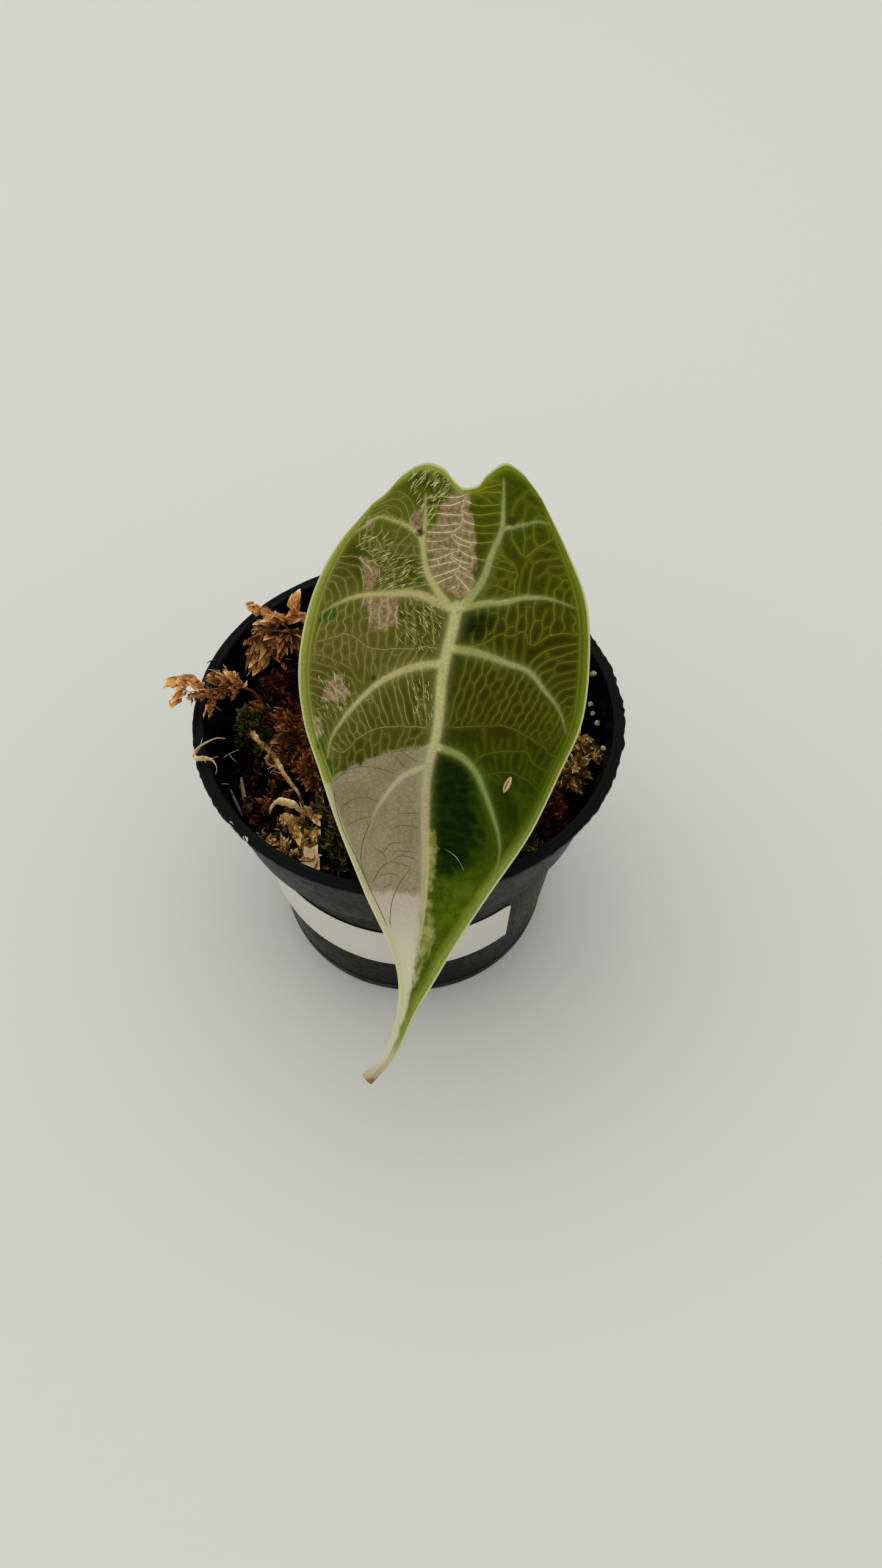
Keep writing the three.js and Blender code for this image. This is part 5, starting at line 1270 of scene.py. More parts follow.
def drain_holes(pot):
    """Cuts the round drain holes through the floor."""
    shapes = []
    for angle in 2 * np.pi * (np.arange(POT["holes"]) + 0.5) / POT["holes"]:
        middle = POT["hole_circle"] * np.array([math.cos(angle), math.sin(angle)])
        shapes.append(tube([[*middle, -2.0], [*middle, 3.0]], POT["hole_radius"], 32))
    points, faces = join_shapes(shapes)
    cutter = put_mesh("drain_cutter", points, faces, pot.data.materials[0])
    close_axis(cutter)
    cut = pot.modifiers.new("drain_holes", "BOOLEAN")
    cut.operation = "DIFFERENCE"
    cut.solver = "EXACT"
    cut.object = cutter
    bpy.context.view_layer.objects.active = pot
    bpy.ops.object.modifier_apply(modifier=cut.name)
    bpy.data.objects.remove(cutter)


def pot_label():
    """A straight strip of tape laid round the body's cone: unrolled, the cone is a fan about its apex.
    Its corners are rounded, and it stands off the pot by its own thickness."""
    slope = math.atan((POT["body_radius"] - POT["base_radius"]) / POT["step_z"])
    apex = (body_outer(LABEL["low_z"]) + LABEL["clearance"]) / math.sin(slope)
    left, right = (apex * math.tan(math.radians(LABEL[k] - LABEL["middle"]) * math.sin(slope))
                   for k in ("left", "right"))
    u, v = np.meshgrid(np.linspace(left, right, 181), np.linspace(0, 1, 25), indexing="ij")
    corner = LABEL["corner"]
    near_end = np.clip(corner - np.minimum(u - left, right - u), 0, corner)
    inset = corner - np.sqrt(corner ** 2 - near_end ** 2)
    up = inset + (LABEL["width"] - 2 * inset) * v

    def place(out):
        reach = np.hypot(u, apex + up)
        azimuth = math.radians(LABEL["middle"]) + np.arctan2(u, apex + up) / math.sin(slope)
        z = LABEL["low_z"] + (reach - apex) * math.cos(slope)
        return polar(reach * math.sin(slope) + out, azimuth, z)

    ripple = 0.04 * np.sin(u / 5.1 + 1.3) * np.sin(v * 3) + 0.03 * np.sin(u / 2.3)
    edge = np.minimum(np.minimum(u - left, right - u), np.minimum(up, LABEL["width"] - up))
    outer = place(LABEL["thickness"] * smooth(-0.1, 0.25, edge) + ripple * smooth(0, 2, edge))
    points = np.concatenate([outer.reshape(-1, 3), place(0 * u).reshape(-1, 3)])
    rows, columns = u.shape
    border = rim_indices(rows, columns)
    onward = np.roll(border, -1)
    wall = np.stack([border, onward, onward + rows * columns, border + rows * columns], -1)
    under = grid_faces(rows, columns, first=rows * columns)[:, ::-1]
    faces = [grid_faces(rows, columns), under, wall[:, ::-1]]
    closed_piece("label_strip", points, faces, label_finish(), "label_film", "pot_label")


# Moss

def leaflets(base, ahead, out, length, width, curl=0.35, cup=0.55):
    """Small cupped, crumpled leaves, all at once. From its base each runs ahead and curls back towards
    its branch as the square of the distance; its width swells like a sine and closes with the sixth
    power, its edges lift, and a wave runs across it: sin(5.5 t + 2.2 s + phase)."""
    t, s = LEAFLET_ALONG[:, None, None], LEAFLET_ACROSS[:, None]
    curl, cup, length, width = (
        np.broadcast_to(v, length.shape)[:, None, None, None] for v in (curl, cup, length, width))
    base, ahead, out = (v[:, None, None] for v in (base, ahead, out))
    half = width * (0.3 + 0.7 * np.sin(np.pi * t ** 0.8)) * (1 - t ** 6 * 0.8)
    crumple = 0.4 * half * np.sin(5.5 * t + 2.2 * s + 7 * base.sum(-1, keepdims=True))
    points = (base + length * t * ahead - curl * length * t ** 2 * out
              + np.cross(ahead, out) * half * s + out * (cup * half * np.abs(s) + crumple))
    count = len(points)
    firsts = LEAFLET_POINTS * np.arange(count)[:, None, None]
    faces = (grid_faces(len(LEAFLET_ALONG), len(LEAFLET_ACROSS))[None] + firsts).reshape(-1, 4)
    return points.reshape(-1, 3), faces, np.tile(np.repeat(LEAFLET_ALONG, len(LEAFLET_ACROSS)), count)


def branch_leaves(path, thick, size, count, tone, random):
    """Places for the leaves of one branch: a spiral round its path, each leaf leaning outwards, wide
    in the middle of the branch and closing to a point at its tip. The palest branches are buds: their
    leaves are broad and close inwards."""
    bud = tone > 0.8
    share = (np.arange(count) + 0.5) / count
    ahead = unit(at_share(np.gradient(path, axis=0), share))
    turn = (np.arange(count) * SPIRAL_TURN + random.uniform(-0.9, 0.9, count))[:, None]
    out = around(ahead, turn, (0.21, 0.35, 0.91))
    swell = (np.sin(np.pi * (0.12 + 0.8 * share)) ** 0.7)[:, None]
    lean = random.uniform(0.1, 0.8 if bud else 1.35, (count, 1))
    base = at_share(path, share) + out * (thick * 0.3 * swell)
    forward = unit(ahead * np.cos(lean) + out * np.sin(lean))
    normal = unit(out - forward * (out * forward).sum(-1, keepdims=True))
    length = size * (0.75 + 0.4 * swell[:, 0]) * random.uniform(0.5, 1.25, count)
    width = size * (random.uniform(0.3, 0.48, count) if bud else random.uniform(0.16, 0.4, count))
    curl, cup = random.uniform(0.3 if bud else -0.3, 0.9, count), random.uniform(0.2, 1.1, count)
    tones = np.clip(tone + random.uniform(-0.3, 0.3, count), 0, 1)
    return base, forward, normal, length, width, curl, cup, tones


def moss_piece(name, stem, branches, material, random):
    """One piece of moss: a thin stem, and branches clothed in leaves, each branch a (path, thickness,
    leaf size, leaf count, tone). Each point knows its leaf's tone and how far along the leaf it lies."""
    points, face_sets = tube(along_path(stem, 10), np.linspace(0.42, 0.22, 10), 6)
    gathered = [branch_leaves(*branch, random) for branch in branches]
    *leaves, tones = (np.concatenate(part) for part in zip(*gathered))
    leaf_points, leaf_faces, leaf_along = leaflets(*leaves)
    tone = np.concatenate([np.full(len(points), 0.35), np.repeat(tones, LEAFLET_POINTS)])
    along = np.concatenate([np.zeros(len(points)), leaf_along])
    return put_mesh(name, np.concatenate([points, leaf_points]), [*face_sets, leaf_faces + len(points)],
                    material, dict(tone=tone, along=along))


def moss_finish(name, dark, light, tip):
    """Dry moss: each leaf has its own tone, is darker at its base and pale and papery at its tip."""
    f = Finish(name)
    tone, along = f.attribute("tone"), f.attribute("along")
    shade = f.plus(f.times(tone, 0.7), f.times(along, 0.45))
    shade = f.plus(shade, f.times(f.plus(f.noise(1600, 3), -0.5), 0.5))
    tipped = f.times(f.ramp(along, 0.55, 1.0), f.ramp(tone, 0.25, 0.8))
    f.set(Base_Color=f.lay(dark, (f.ramp(shade, 0.1, 0.95), light), (tipped, tip)))
    f.set(Roughness=0.6, Specular_IOR_Level=0.2)
    f.bump(f.noise(3500, 2), 0.04, 0.6)
    return f.material


def bed_height(x, y):
    """The bed's low dome and its lumps, as in the solids."""
    share = np.minimum(np.hypot(x, y) / POT["collar_foot"], 1)
    waves = (np.sin(x / 3.1 + 0.7) * np.cos(y / 2.7) + 0.7 * np.sin((x + y) / 4.3 + 2)
             + 0.5 * np.cos((x - 2 * y) / 3.7))
    dome = BED["wall_z"] + (BED["middle_z"] - BED["wall_z"]) * (1 - share ** 2)
    return dome + BED["lump"] / 2 * waves - x / 28


def bed_body(wall, material, random):
    """A closed body of packed moss, painted near-black as the shade under the strands, whose top is the
    lumpy dome roughened by many short waves, and whose side follows the pot's wall down to its foot."""
    turn, reach = np.meshgrid(azimuths(BED["sectors"]), np.linspace(0.0005, 1, BED["rings"]), indexing="xy")
    x, y = wall * reach * np.cos(turn), wall * reach * np.sin(turn)
    rough = np.zeros_like(x)
    for wavelength, height in BED_WAVES:
        for heading in random.uniform(0, 2 * np.pi, 5):
            phase = (x * np.cos(heading) + y * np.sin(heading)) * 2 * np.pi / wavelength
            rough += height * np.sin(phase + random.uniform(0, 7)) / 2
    top = np.stack([x, y, bed_height(x, y) - BED["sunk"] + rough], -1)
    side_z = BED["foot_z"] + (top[-1, :, 2] - BED["foot_z"]) * np.linspace(1, 0, 8)[1:, None]
    side = polar(inner_radius(side_z) - BED["clearance"], turn[0], side_z)
    points = np.concatenate([top, side, side[-1:] * [0.0005, 0.0005, 1]])
    shape = points.shape[:2]
    # The body's low tone paints it near-black: painted shade under the strands.
    fields = dict(tone=np.full(shape, 0.12), along=np.zeros(shape))
    faces = grid_faces(*shape, closed=True)
    closed_piece("moss_bed_body", points, [faces], material, "moss_dark", "moss_bed", fields)


def moss_bed():
    """The bed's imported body, and over it short strands lying every way, each clothed in leaves. Their
    pieces' own stems are short and hidden inside the bed."""
    random = np.random.default_rng(41)
    wall = inner_radius(BED["wall_z"]) - BED["clearance"]
    material = bed_finish()
    bed_body(wall, material, random)
    radius = (wall - 1.8) * np.sqrt(random.uniform(0, 1, BED_STRANDS))
    angle = random.uniform(0, 2 * np.pi, BED_STRANDS)
    strands = lying_strands(np.stack([radius * np.cos(angle), radius * np.sin(angle)], -1), 0.5, random)
    settle(moss_piece("moss_bed_strands", hidden_stem(0, 0), strands, material, random), "moss_dark")
    finishes = {slot: moss_finish(slot + "_drift", *tints) for slot, tints in MOSS_TINTS.items()}
    for number, (x, y, spread_x, spread_y, count, slot) in enumerate(DRIFTS):
        feet = random.normal([x, y], [spread_x, spread_y], (count, 2))
        strands = lying_strands(feet, 0.55, random, 0.5)
        drift = moss_piece(f"moss_drift_{number + 1}", hidden_stem(x, y), strands, finishes[slot], random)
        settle(drift, slot)


def hidden_stem(x, y):
    """A stem one millimetre high and across, inside the bed."""
    return [(x, y, 50), (x, y + 1, 51)]


def lying_strands(feet, tone, random, lift=0.0):
    """Short bowed branches that start in the bed at each foot, rise or lie at random and stay inside
    the pot's wall."""
    count = len(feet)
    foot = np.column_stack([feet, bed_height(*feet.T) - STRAND["sunk"] + lift])
    heading = random.uniform(0, 2 * np.pi, count)
    rise = random.uniform(*STRAND["rise"], count)
    way = polar(np.cos(rise), heading, np.sin(rise))
    length = random.uniform(*STRAND["length"], count)[:, None]
    tip = foot + way * length
    middle = (foot + tip) / 2 + random.normal(0, 0.12, (count, 3)) * length
    for place in (foot, middle, tip):
        wall = inner_radius(place[:, 2]) - STRAND["clearance"]
        place[:, :2] *= np.minimum(1, wall / np.hypot(place[:, 0], place[:, 1]))[:, None]
    tones = np.clip(random.normal(tone, 0.25, count), 0, 1)
    steps = np.linspace(0, 2, BRANCH_STEPS)
    return [(spline([a, b, c], steps), STRAND["thick"], STRAND["leaf"], STRAND["leaves"], t)
            for a, b, c, t in zip(foot, middle, tip, tones)]


def bed_finish():
    """Old moss: patches of dark red, rust, brown and green, with painted shade nearly black between the
    strands.
    """
    f = Finish("moss_dark")
    tone, along = f.attribute("tone"), f.attribute("along")
    patches = f.ramp(f.noise(110, 2, 0.5), 0.32, 0.68)
    body = f.stops(patches, (0.0, (58, 16, 8)), (0.3, (98, 46, 16)), (0.55, (70, 44, 18)),
                   (0.78, (46, 50, 16)), (1.0, (132, 92, 36)))
    shade = f.plus(f.times(tone, 0.8), f.times(along, 0.4))
    # Painted shade: the bed's body, leaf bases and low-toned strands are mixed towards near-black (9, 5, 2).
    colour = f.mix(f.ramp(shade, 0.3, 1.05), (9, 5, 2), body)
    pale = f.times(f.ramp(along, 0.5, 1.0), f.ramp(tone, 0.72, 0.95))
    f.set(Base_Color=f.mix(pale, colour, (190, 154, 92)), Roughness=0.8, Specular_IOR_Level=0.06)
    f.bump(f.noise(2500, 4, 0.6), 0.08, 0.8)
    return f.material


def spiral_branches(path, count, reach, thick, lean, bare, random):
    """Leafy branches that leave a stem on a spiral, leaning more towards its foot and drooping towards
    their tips as the square of the distance."""
    ahead = unit(np.gradient(path, axis=0))
    steps = np.linspace(0, 1, BRANCH_STEPS)[:, None]
    branches = []
    for k in range(count):
        share = bare + (1 - bare) * (k + 1) / count
        i = int(share * (len(path) - 1))
        out = around(ahead[i], k * SPIRAL_TURN + random.uniform(-0.3, 0.3), (0.3, 0.5, 0.8))
        angle = lean * (1.25 - 0.9 * share) + random.uniform(-0.15, 0.15)
        way = ahead[i] * math.cos(angle) + out * math.sin(angle)
        length = reach * random.uniform(0.7, 1.1)
        droop = 0.28 * length * steps ** 2 * np.array([0, 0, -1.0])
        tone = random.uniform(0.2, 0.85)
        branches.append((path[i] + way * length * steps + droop, thick, thick * 2.3, 24, tone))
    return branches


def bowed_branch(start, end, thick, size, leaves, tone, random):
    """A branch from start to end that bows upwards a little on the way."""
    start, end = np.array(start), np.array(end)
    steps = np.linspace(0, 1, BRANCH_STEPS)[:, None]
    bow = np.array([0, 0, 0.12]) * np.linalg.norm(end - start) + random.normal(0, 0.15, 3)
    return start + (end - start) * steps + np.sin(np.pi * steps) * bow, thick, size, leaves, tone


def moss_sprigs():
    """Each sprig: a stem from its foot along its path, and its branches, on a spiral or, on the large
    ones, where its own list has them."""
    finishes = {slot: moss_finish(slot + "_leaves", *tints) for slot, tints in MOSS_TINTS.items()}
    for number, (name, (slot, (x, y), way, *growth)) in enumerate(SPRIGS.items()):
        random = np.random.default_rng(100 + number)
        stem = [(x, y, bed_height(x, y) - 1.5), *way]
        branches = spiral_branches(along_path(stem, 40), *growth, random)
        # On a large sprig the spiral only takes its random draws.
        if name in LARGE_SPRIGS:
            branches = [bowed_branch(*branch, random) for branch in LARGE_SPRIGS[name]]
        finish = finishes["moss_gold" if name in GOLD_SPRIGS else slot]
        settle(moss_piece(name + "_spray", stem, branches, finish, random), slot, name)


# Small dry pieces

def noisy_tube(path, radii, sides, random, flat=1.0, rough=0.12, guide=(0.2, 0.1, 0.97)):
    """A dry stem: a tube whose section is flattened, and whose radius wavers from ring to ring."""
    radii = np.asarray(radii) * (1 + rough * random.uniform(-1, 1, len(path)))
    points, faces = tube(path, radii, sides, guide)
    rings = points[:-2].reshape(len(path), sides, 3)
    away = rings - path[:, None]
    thin = unit(np.cross(unit(np.gradient(path, axis=0)), guide))[:, None]
    rings -= (1 - flat) * (away * thin).sum(-1, keepdims=True) * thin
    points[:-2] = rings.reshape(-1, 3)
    return points, faces


def hairs(roots, ways, random, radius=0.09):
    """Short stiff root hairs, each a thin tapering tube with a slight bow."""
    shapes = []
    for root, way in zip(roots, ways):
        bow = random.normal(0, 0.12, 3) * np.linalg.norm(way)
        path = np.array([root, root + np.array(way) * 0.5 + bow, root + np.array(way)])
        shapes.append(tube(along_path(path, 7), np.linspace(radius, radius * 0.4, 7), 5))
    return shapes


def dry_piece(name, shapes, material, slot, *nodes):
    """A settled piece from several shapes."""
    return settle(put_mesh(name, *join_shapes(shapes), material), slot, *nodes)


def straw_finish():
    """Dry straw: streaked tan, browner in patches, with small dark pits."""
    f = Finish("dry_straw")
    streak = f.noise(1100, 4, 0.6)
    patches = f.ramp(f.noise(330, 3), 0.4, 0.66)
    pits = f.ramp(f.cells(1300), 0.3, 0.18)
    f.set(Base_Color=f.lay((166, 118, 50), (f.ramp(streak, 0.3, 0.6), (234, 198, 124)),
                           (patches, (112, 66, 20)), (f.times(pits, patches), (34, 20, 10))))
    f.set(Roughness=0.6, Specular_IOR_Level=0.25)
    f.bump(f.math("SUBTRACT", streak, pits), 0.12, 0.8)
    return f.material


def pale_finish(name, dark, light):
    """Pale papery skin with darker creases."""
    f = Finish(name)
    creases = f.noise(1400, 5, 0.7, 0.6)
    f.set(Base_Color=f.mix(f.ramp(creases, 0.32, 0.6), dark, light), Roughness=0.55, Specular_IOR_Level=0.25)
    f.bump(creases, 0.1, 0.8)
    return f.material


def straw_stalk():
    """A hollow dry stalk, flared and split at its free end, with a few side roots."""
    random = np.random.default_rng(61)
    path = along_path([
        (-23.0, -14.5, 55.0), (-23.6, -13.8, 58.4), (-25.1, -12.2, 59.8), (-26.4, -10.8, 61.2),
        (-27.9, -8.4, 62.8), (-29.3, -6.9, 64.2), (-31.2, -5.7, 65.6), (-32.6, -4.2, 67.0)], 60)
    share = np.linspace(0, 1, len(path))
    knots = np.sin(share * 40) * np.sin(share * 17) + 0.6 * np.sin(share * 63)
    radii = 0.36 + 0.32 * smooth(0.05, 0.6, share) + 0.1 * knots + 0.18 * smooth(0.9, 1.0, share)
    shapes = [noisy_tube(path, radii, 12, random, 0.75)]
    ways = [(-2.2, 0.6, 0.7), (-2.6, -0.8, 0.4), (-1.6, -2.2, -0.6), (-1.4, 1.2, 1.2), (1.6, -0.8, 0.8)]
    shapes += hairs(path[[26, 31, 34, 38, 41]], ways, random, 0.16)
    twig = along_path([path[42], path[40] + [-1.2, -0.9, 0], path[34] + [-2.0, 0, -0.4], path[30]], 14)
    shapes.append(noisy_tube(twig, np.full(14, 0.3), 8, random, 1.0, 0.3))
    dry_piece("dry_stalk", shapes, straw_finish(), "straw", "straw_stalk")


def rim_root():
    """A dry root that hooks over the rim: a flattened band that narrows to both ends, with hairs."""
    random = np.random.default_rng(62)
    path = along_path([
        (-38.3, -4.8, 66.0), (-39.6, -5.7, 67.4), (-41.2, -7.5, 68.6), (-42.9, -9.4, 69.2),
        (-43.7, -11.2, 69.3), (-43.0, -12.2, 69.2), (-41.6, -12.1, 69.1), (-40.1, -12.2, 68.6),
        (-39.3, -13.0, 67.2), (-39.6, -14.0, 66.0)], 60)
    share = np.linspace(0, 1, len(path))
    radii = 0.13 + 0.2 * np.sin(np.pi * share) ** 1.5 + 0.38 * bell(share, 0.66, 0.13)
    shapes = [noisy_tube(path, radii, 10, random, 0.5, 0.1, (0.1, 0.2, 0.95))]
    ways = [(0.4, 1.8, 0.5), (1.2, 1.6, 0.3), (1.0, -1.4, 0.4), (1.6, 0.5, 0.2)]
    shapes += hairs(path[[24, 33, 40, 46]], ways, random)
    root = pale_finish("dry_root", (150, 112, 56), (232, 206, 148))
    dry_piece("rim_root", shapes, root, "straw", "rim_root_strand")
    loose = hairs([(-39.4, -5.6, 60.4), (-38.0, -5.3, 61.0), (-39.4, -12.0, 60.0)],
                  [(3.4, 0.9, 1.6), (1.4, -1.4, -0.6), (1.5, -0.2, 0.1)], random, 0.14)
    dry_piece("loose_root_hairs", loose, pale_finish("pale_hair", (150, 132, 80), (206, 192, 142)), "straw")


def wall_straps():
    """Two thin grey straps of root that stand against the wall."""
    random = np.random.default_rng(63)
    shapes = []
    for points, width in (
        ([(-32.9, -15.4, 54.0), (-33.9, -15.1, 55.2), (-34.8, -14.2, 56.2), (-35.3, -12.3, 57.0),
          (-35.8, -9.1, 58.0)], 0.66),
        ([(-35.6, -16.6, 54.8), (-36.8, -14.4, 56.6), (-37.8, -12.4, 58.4)], 0.4),
    ):
        radii = width * (0.45 + 0.55 * np.sin(np.pi * np.linspace(0.1, 0.95, 24)))
        shapes.append(noisy_tube(along_path(points, 24), radii, 10, random, 0.8))
    grey = pale_finish("grey_root", (48, 44, 28), (138, 130, 98))
    dry_piece("wall_straps", shapes, grey, "straw", "wall_strand")


def cream_curl():
    """A thick cream leaf base that arches over and narrows to a curled lip."""
    path = along_path([
        (-22.6, -18.0, 55.0), (-23.1, -18.3, 58.6), (-24.2, -18.3, 60.4), (-25.8, -18.0, 61.2),
        (-27.5, -17.7, 60.9), (-28.7, -18.1, 60.0), (-29.3, -19.0, 58.6)], 44)
    share = np.linspace(0, 1, len(path))
    radii = 0.3 + 0.85 * bell(share, 0.58, 0.19) + 0.1 * np.sin(share * 30)
    shape = noisy_tube(path, radii, 16, np.random.default_rng(64), 0.62, 0.08)
    skin = pale_finish("cream_skin", (214, 164, 92), (255, 234, 178))
    dry_piece("cream_curl", [shape], skin, "moss_cream", "cream_moss_curl")


def husk_finish():
    """Dry husk: pale beige with fine streaks and brown patches."""
    f = Finish("husk_paper")
    streak = f.noise(1500, 4, 0.6)
    patches = f.ramp(f.noise(700, 2), 0.56, 0.66)
    f.set(Base_Color=f.lay((204, 160, 104), (streak, (255, 232, 178)), (patches, (140, 96, 54))))
    f.set(Roughness=0.5, Specular_IOR_Level=0.3)
    f.bump(streak, 0.08, 0.7)
    return f.material


def front_husk():
    """A few large cupped papery leaves that spread from one spot, each turned to face upwards."""
    ways = unit(np.array([
        (0.9, 1.8, 1.6), (-0.9, 1.8, 1.4), (0.7, -1.8, 0.9), (-0.4, -2.2, 0.9), (0.1, -0.4, 2.0),
        (1.3, 0.2, 1.2), (-1.3, -0.2, 1.0)]))
    lengths = np.array([3.2, 3.0, 4.0, 4.2, 2.6, 2.4, 2.4])
    outs = unit(np.cross(ways, np.cross([0, 0, 1.0], ways) + 1e-6))
    base = np.broadcast_to([-20.6, -30.2, 58.2], ways.shape)
    points, faces, _ = leaflets(base, ways, outs, lengths, lengths * 0.38)
    settle(put_mesh("front_husk_leaves", points, [faces], husk_finish()), "moss_cream", "front_husk")


def rim_flakes():
    """Three curled dry flakes that cling to the rim's outer edge. Each of a flake's pieces has a length
    and leans along the rim and upwards from the way out."""
    material = pale_finish("flake_paper", (150, 138, 100), (226, 220, 186))
    for node, azimuth, pieces in (
        ("rim_flake_left", 160.0, [(2.6, 0.3, 0.4)]),
        ("rim_flake_front", -142.5, [(2.0, 1.2, 0.2), (2.4, -1.4, -0.3), (1.6, 0.2, 0.9)]),
        ("rim_flake_hook", -136.4, [(2.2, -0.6, -1.2), (1.4, 0.9, -0.4)]),
    ):
        turn = math.radians(azimuth)
        outward = np.array([math.cos(turn), math.sin(turn), 0])
        along = np.array([-math.sin(turn), math.cos(turn), 0])
        ways = unit(np.array([
            outward * FLAKE["outward"] + along * aside + [0, 0, up] for _, aside, up in pieces]))
        base = outward * FLAKE["from_axis"] + [0, 0, FLAKE["z"]] - ways * FLAKE["sunk"]
        lengths = np.array([length for length, _, _ in pieces])
        facing = outward + [0, 0, FLAKE["face_up"]]
        outs = unit(facing - ways * (ways @ facing)[:, None])
        points, faces, _ = leaflets(base, ways, outs, lengths, lengths * FLAKE["width"])
        settle(put_mesh(node + "_paper", points, [faces], material), "husk_paper", node)


def seed_husk_finish():
    """Straw-coloured pod, dark inside its slit."""
    f = Finish("seed_husk")
    body = f.mix(f.noise(1800, 3), (150, 132, 76), (226, 212, 156))
    f.set(Base_Color=f.mix(f.attribute("slit"), body, (52, 38, 12)), Roughness=0.5)
    return f.material


def ball_angles(first, last, rings, sectors):
    """Angles from pole to pole and round about, as grids."""
    return np.meshgrid(np.linspace(first, last, rings), azimuths(sectors), indexing="ij")


def leaf_husk():
    """A seed husk on the blade: a long pod with pointed ends and a dark open slit along one side."""
    low, high = box_of("leaf_husk")
    centre = (low + high) / 2
    way = unit(HUSK["aside"] * FACE_ACROSS + HUSK["up"] * FACE_UP)
    side = np.cross(FACE_OUT, way)
    t, turn = ball_angles(0, np.pi, 24, 24)
    swell = np.sin(t) ** 1.35 + 0.002
    slit = bell(turn, 1.25, 0.42) * np.sin(t) ** 0.7
    radius = swell * (HUSK["half_width"] - HUSK["slit_depth"] * slit)
    points = (centre - HUSK["half_length"] * np.cos(t)[..., None] * way
              + (radius * np.cos(turn))[..., None] * side
              + (HUSK["flat"] * radius * np.sin(turn))[..., None] * FACE_OUT)
    faces, skin = grid_faces(*t.shape, closed=True), seed_husk_finish()
    closed_piece("leaf_husk_pod", points, [faces], skin, "husk_paper", "leaf_husk", dict(slit=slit))


def perlite_grains():
    """Rough white grains: balls pushed in and out by a few crossing waves, each in its solid's place."""
    material = pale_finish("perlite_foam", (96, 88, 66), (176, 168, 142))
    random = np.random.default_rng(65)
    t, turn = ball_angles(0.001, np.pi - 0.001, 14, 22)
    ball = polar(np.sin(t), turn, np.cos(t))
    for name in sorted(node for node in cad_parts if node.startswith("perlite")):
        low, high = box_of(name)
        waves = sum(np.sin(ball @ random.normal(0, 3.2, 3) + random.uniform(0, 6)) for _ in range(5))
        grain = (low + high) / 2 + ball * (high - low) / 2 * (0.95 + 0.06 * waves[..., None])
        faces = grid_faces(*t.shape, closed=True)
        closed_piece(name + "_grain", grain, [faces], material, "perlite", name)


def spike_star():
    """A star of pale stiff hairs at the tip of the right-hand moss spike."""
    ways = [(1.3, 1.2, 0.9), (1.8, -0.2, 0.9), (1.4, -1.4, 0.6), (0.2, 1.8, 0.9), (-0.9, -1.4, 0.8),
            (0.6, 0.2, 1.6)]
    shapes = hairs([(38.7, -8.8, 61.4)] * len(ways), ways, np.random.default_rng(66), 0.11)
    hair = pale_finish("star_hair", (150, 120, 62), (214, 192, 132))
    dry_piece("spike_star_hairs", shapes, hair, "moss_tan")


def root_finish():
    """Dry brown root skin: two browns mottled together over a grain."""
    f = Finish("root_skin")
    grain = f.noise(600, 5, 0.65)
    f.set(Base_Color=f.mix(f.ramp(grain, 0.3, 0.7), (150, 122, 84), (196, 170, 126)), Roughness=0.8)
    f.bump(grain, 0.08, 0.8)
    return f.material


def carried_root():
    """Gives the rhizome with its roots, the one solid that no piece stands for, its own finish."""
    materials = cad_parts["rhizome_and_roots"].data.materials
    materials.clear()
    materials.append(root_finish())


# Stage

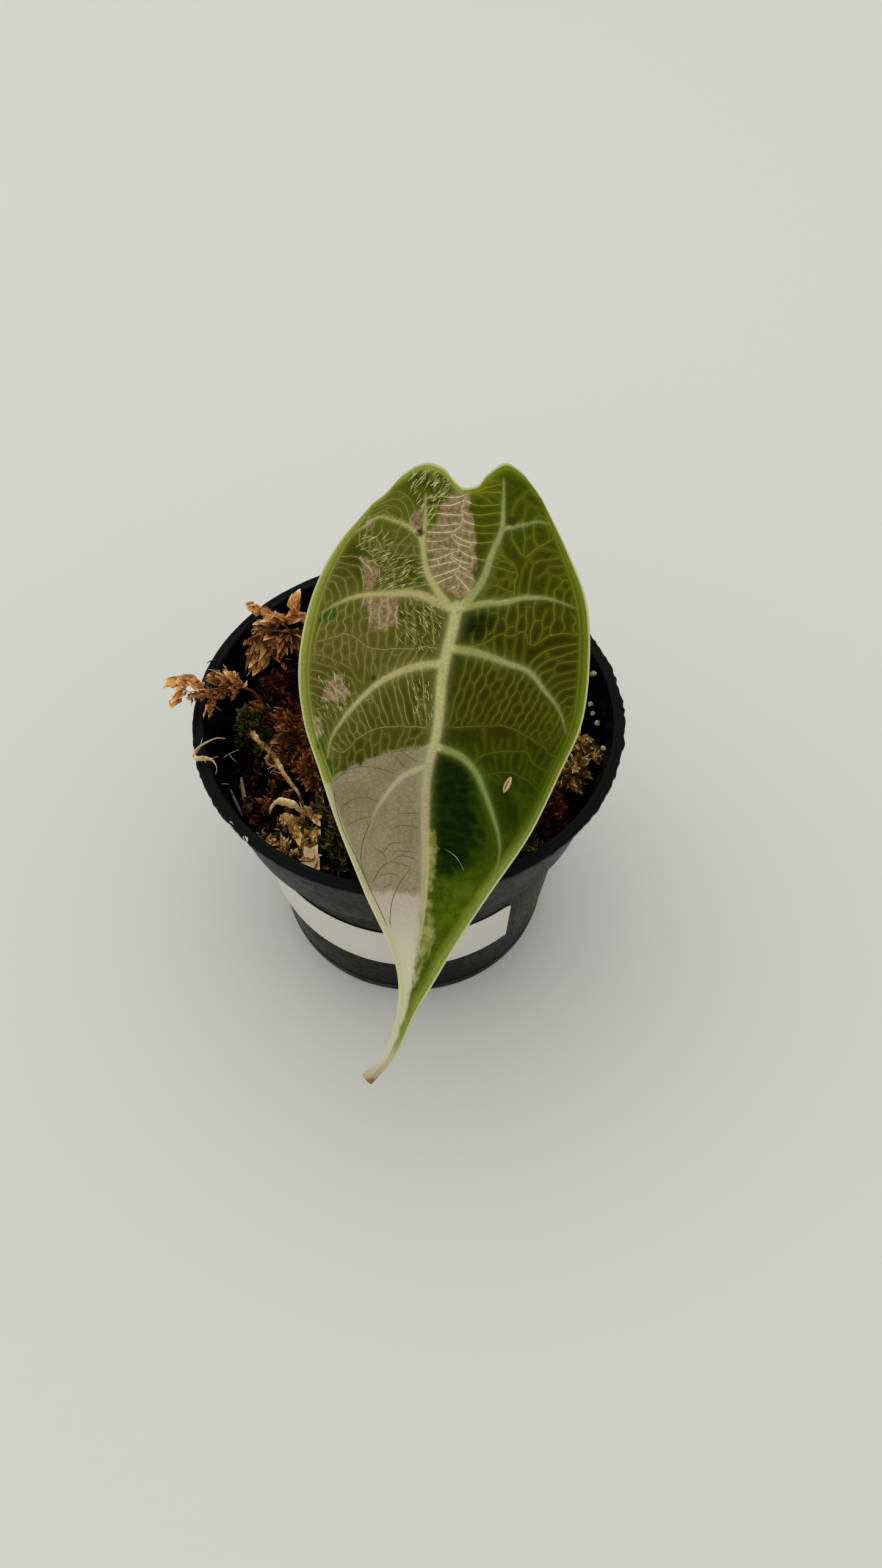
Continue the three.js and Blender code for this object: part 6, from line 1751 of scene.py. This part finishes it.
def floor_sheet():
    """A pale floor that runs back from in front of the pot and then curves up on an arc."""
    f = Finish("floor_paper")
    f.set(Base_Color=(214, 215, 208), Roughness=0.9)
    half, bend_from, bend = FLOOR["half_width"], FLOOR["bend_from"], FLOOR["bend_radius"]
    x, s = np.meshgrid(np.linspace(-half, half, 3), np.linspace(0, 1, 60), indexing="ij")
    run = FLOOR["front"] + FLOOR["run"] * s
    turn = np.clip((run - bend_from) / bend, 0, np.pi / 2)
    y = np.where(run < bend_from, run, bend_from + bend * np.sin(turn))
    risen = np.clip(run - bend_from - bend * np.pi / 2, 0, None)
    z = np.where(run < bend_from, 0, bend * (1 - np.cos(turn))) + risen - FLOOR["below"]
    floor = put_mesh("floor", np.stack([x, y, z], -1), [grid_faces(3, 60)], f.material)


def soft_light(name, place, size, power):
    """A round lamp that looks at the pot."""
    lamp = bpy.data.lights.new(name, "AREA")
    lamp.shape = "DISK"
    lamp.size = size
    lamp.energy = power
    light = bpy.data.objects.new(name, lamp)
    aim = Vector(LIT_PLACE) - Vector(place)
    light.matrix_world = Matrix.Translation(place) @ aim.to_track_quat("-Z", "Y").to_matrix().to_4x4()
    bpy.context.scene.collection.objects.link(light)


def room():
    """Soft even light from all round, with a wide lamp above and a smaller one from the left."""
    world = bpy.context.scene.world or bpy.data.worlds.new("soft_room")
    bpy.context.scene.world = world
    world.use_nodes = True
    background = world.node_tree.nodes["Background"]
    background.inputs["Color"].default_value = ROOM["colour"]
    background.inputs["Strength"].default_value = ROOM["strength"]
    for name, lamp in LAMPS.items():
        soft_light(name, *lamp)


def photo_camera():
    """The camera where the photo was taken from, looking down at the pot's front."""
    lens = bpy.data.cameras.new("camera")
    lens.lens = CAMERA["focal_length"]
    lens.sensor_width = CAMERA["sensor"]
    lens.clip_start = CAMERA["near"]
    camera = bpy.data.objects.new("camera", lens)
    ahead = Vector(CAMERA["ahead"]).normalized()
    right = Vector(CAMERA["right"])
    right = (right - ahead * right.dot(ahead)).normalized()
    turn = Matrix((right, right.cross(ahead), -ahead)).transposed().to_4x4()
    camera.matrix_world = Matrix.Translation(CAMERA["place"]) @ turn
    bpy.context.scene.collection.objects.link(camera)
    bpy.context.scene.camera = camera
    bpy.context.scene.view_settings.view_transform = "Standard"


for build in (
    floor_sheet, room, photo_camera, carried_root, nursery_pot, pot_label, moss_bed, moss_sprigs, spike_star,
    straw_stalk, rim_root, wall_straps, cream_curl, front_husk, rim_flakes, leaf_husk, perlite_grains,
    leaf_blade, leaf_stalk,
):
    build()
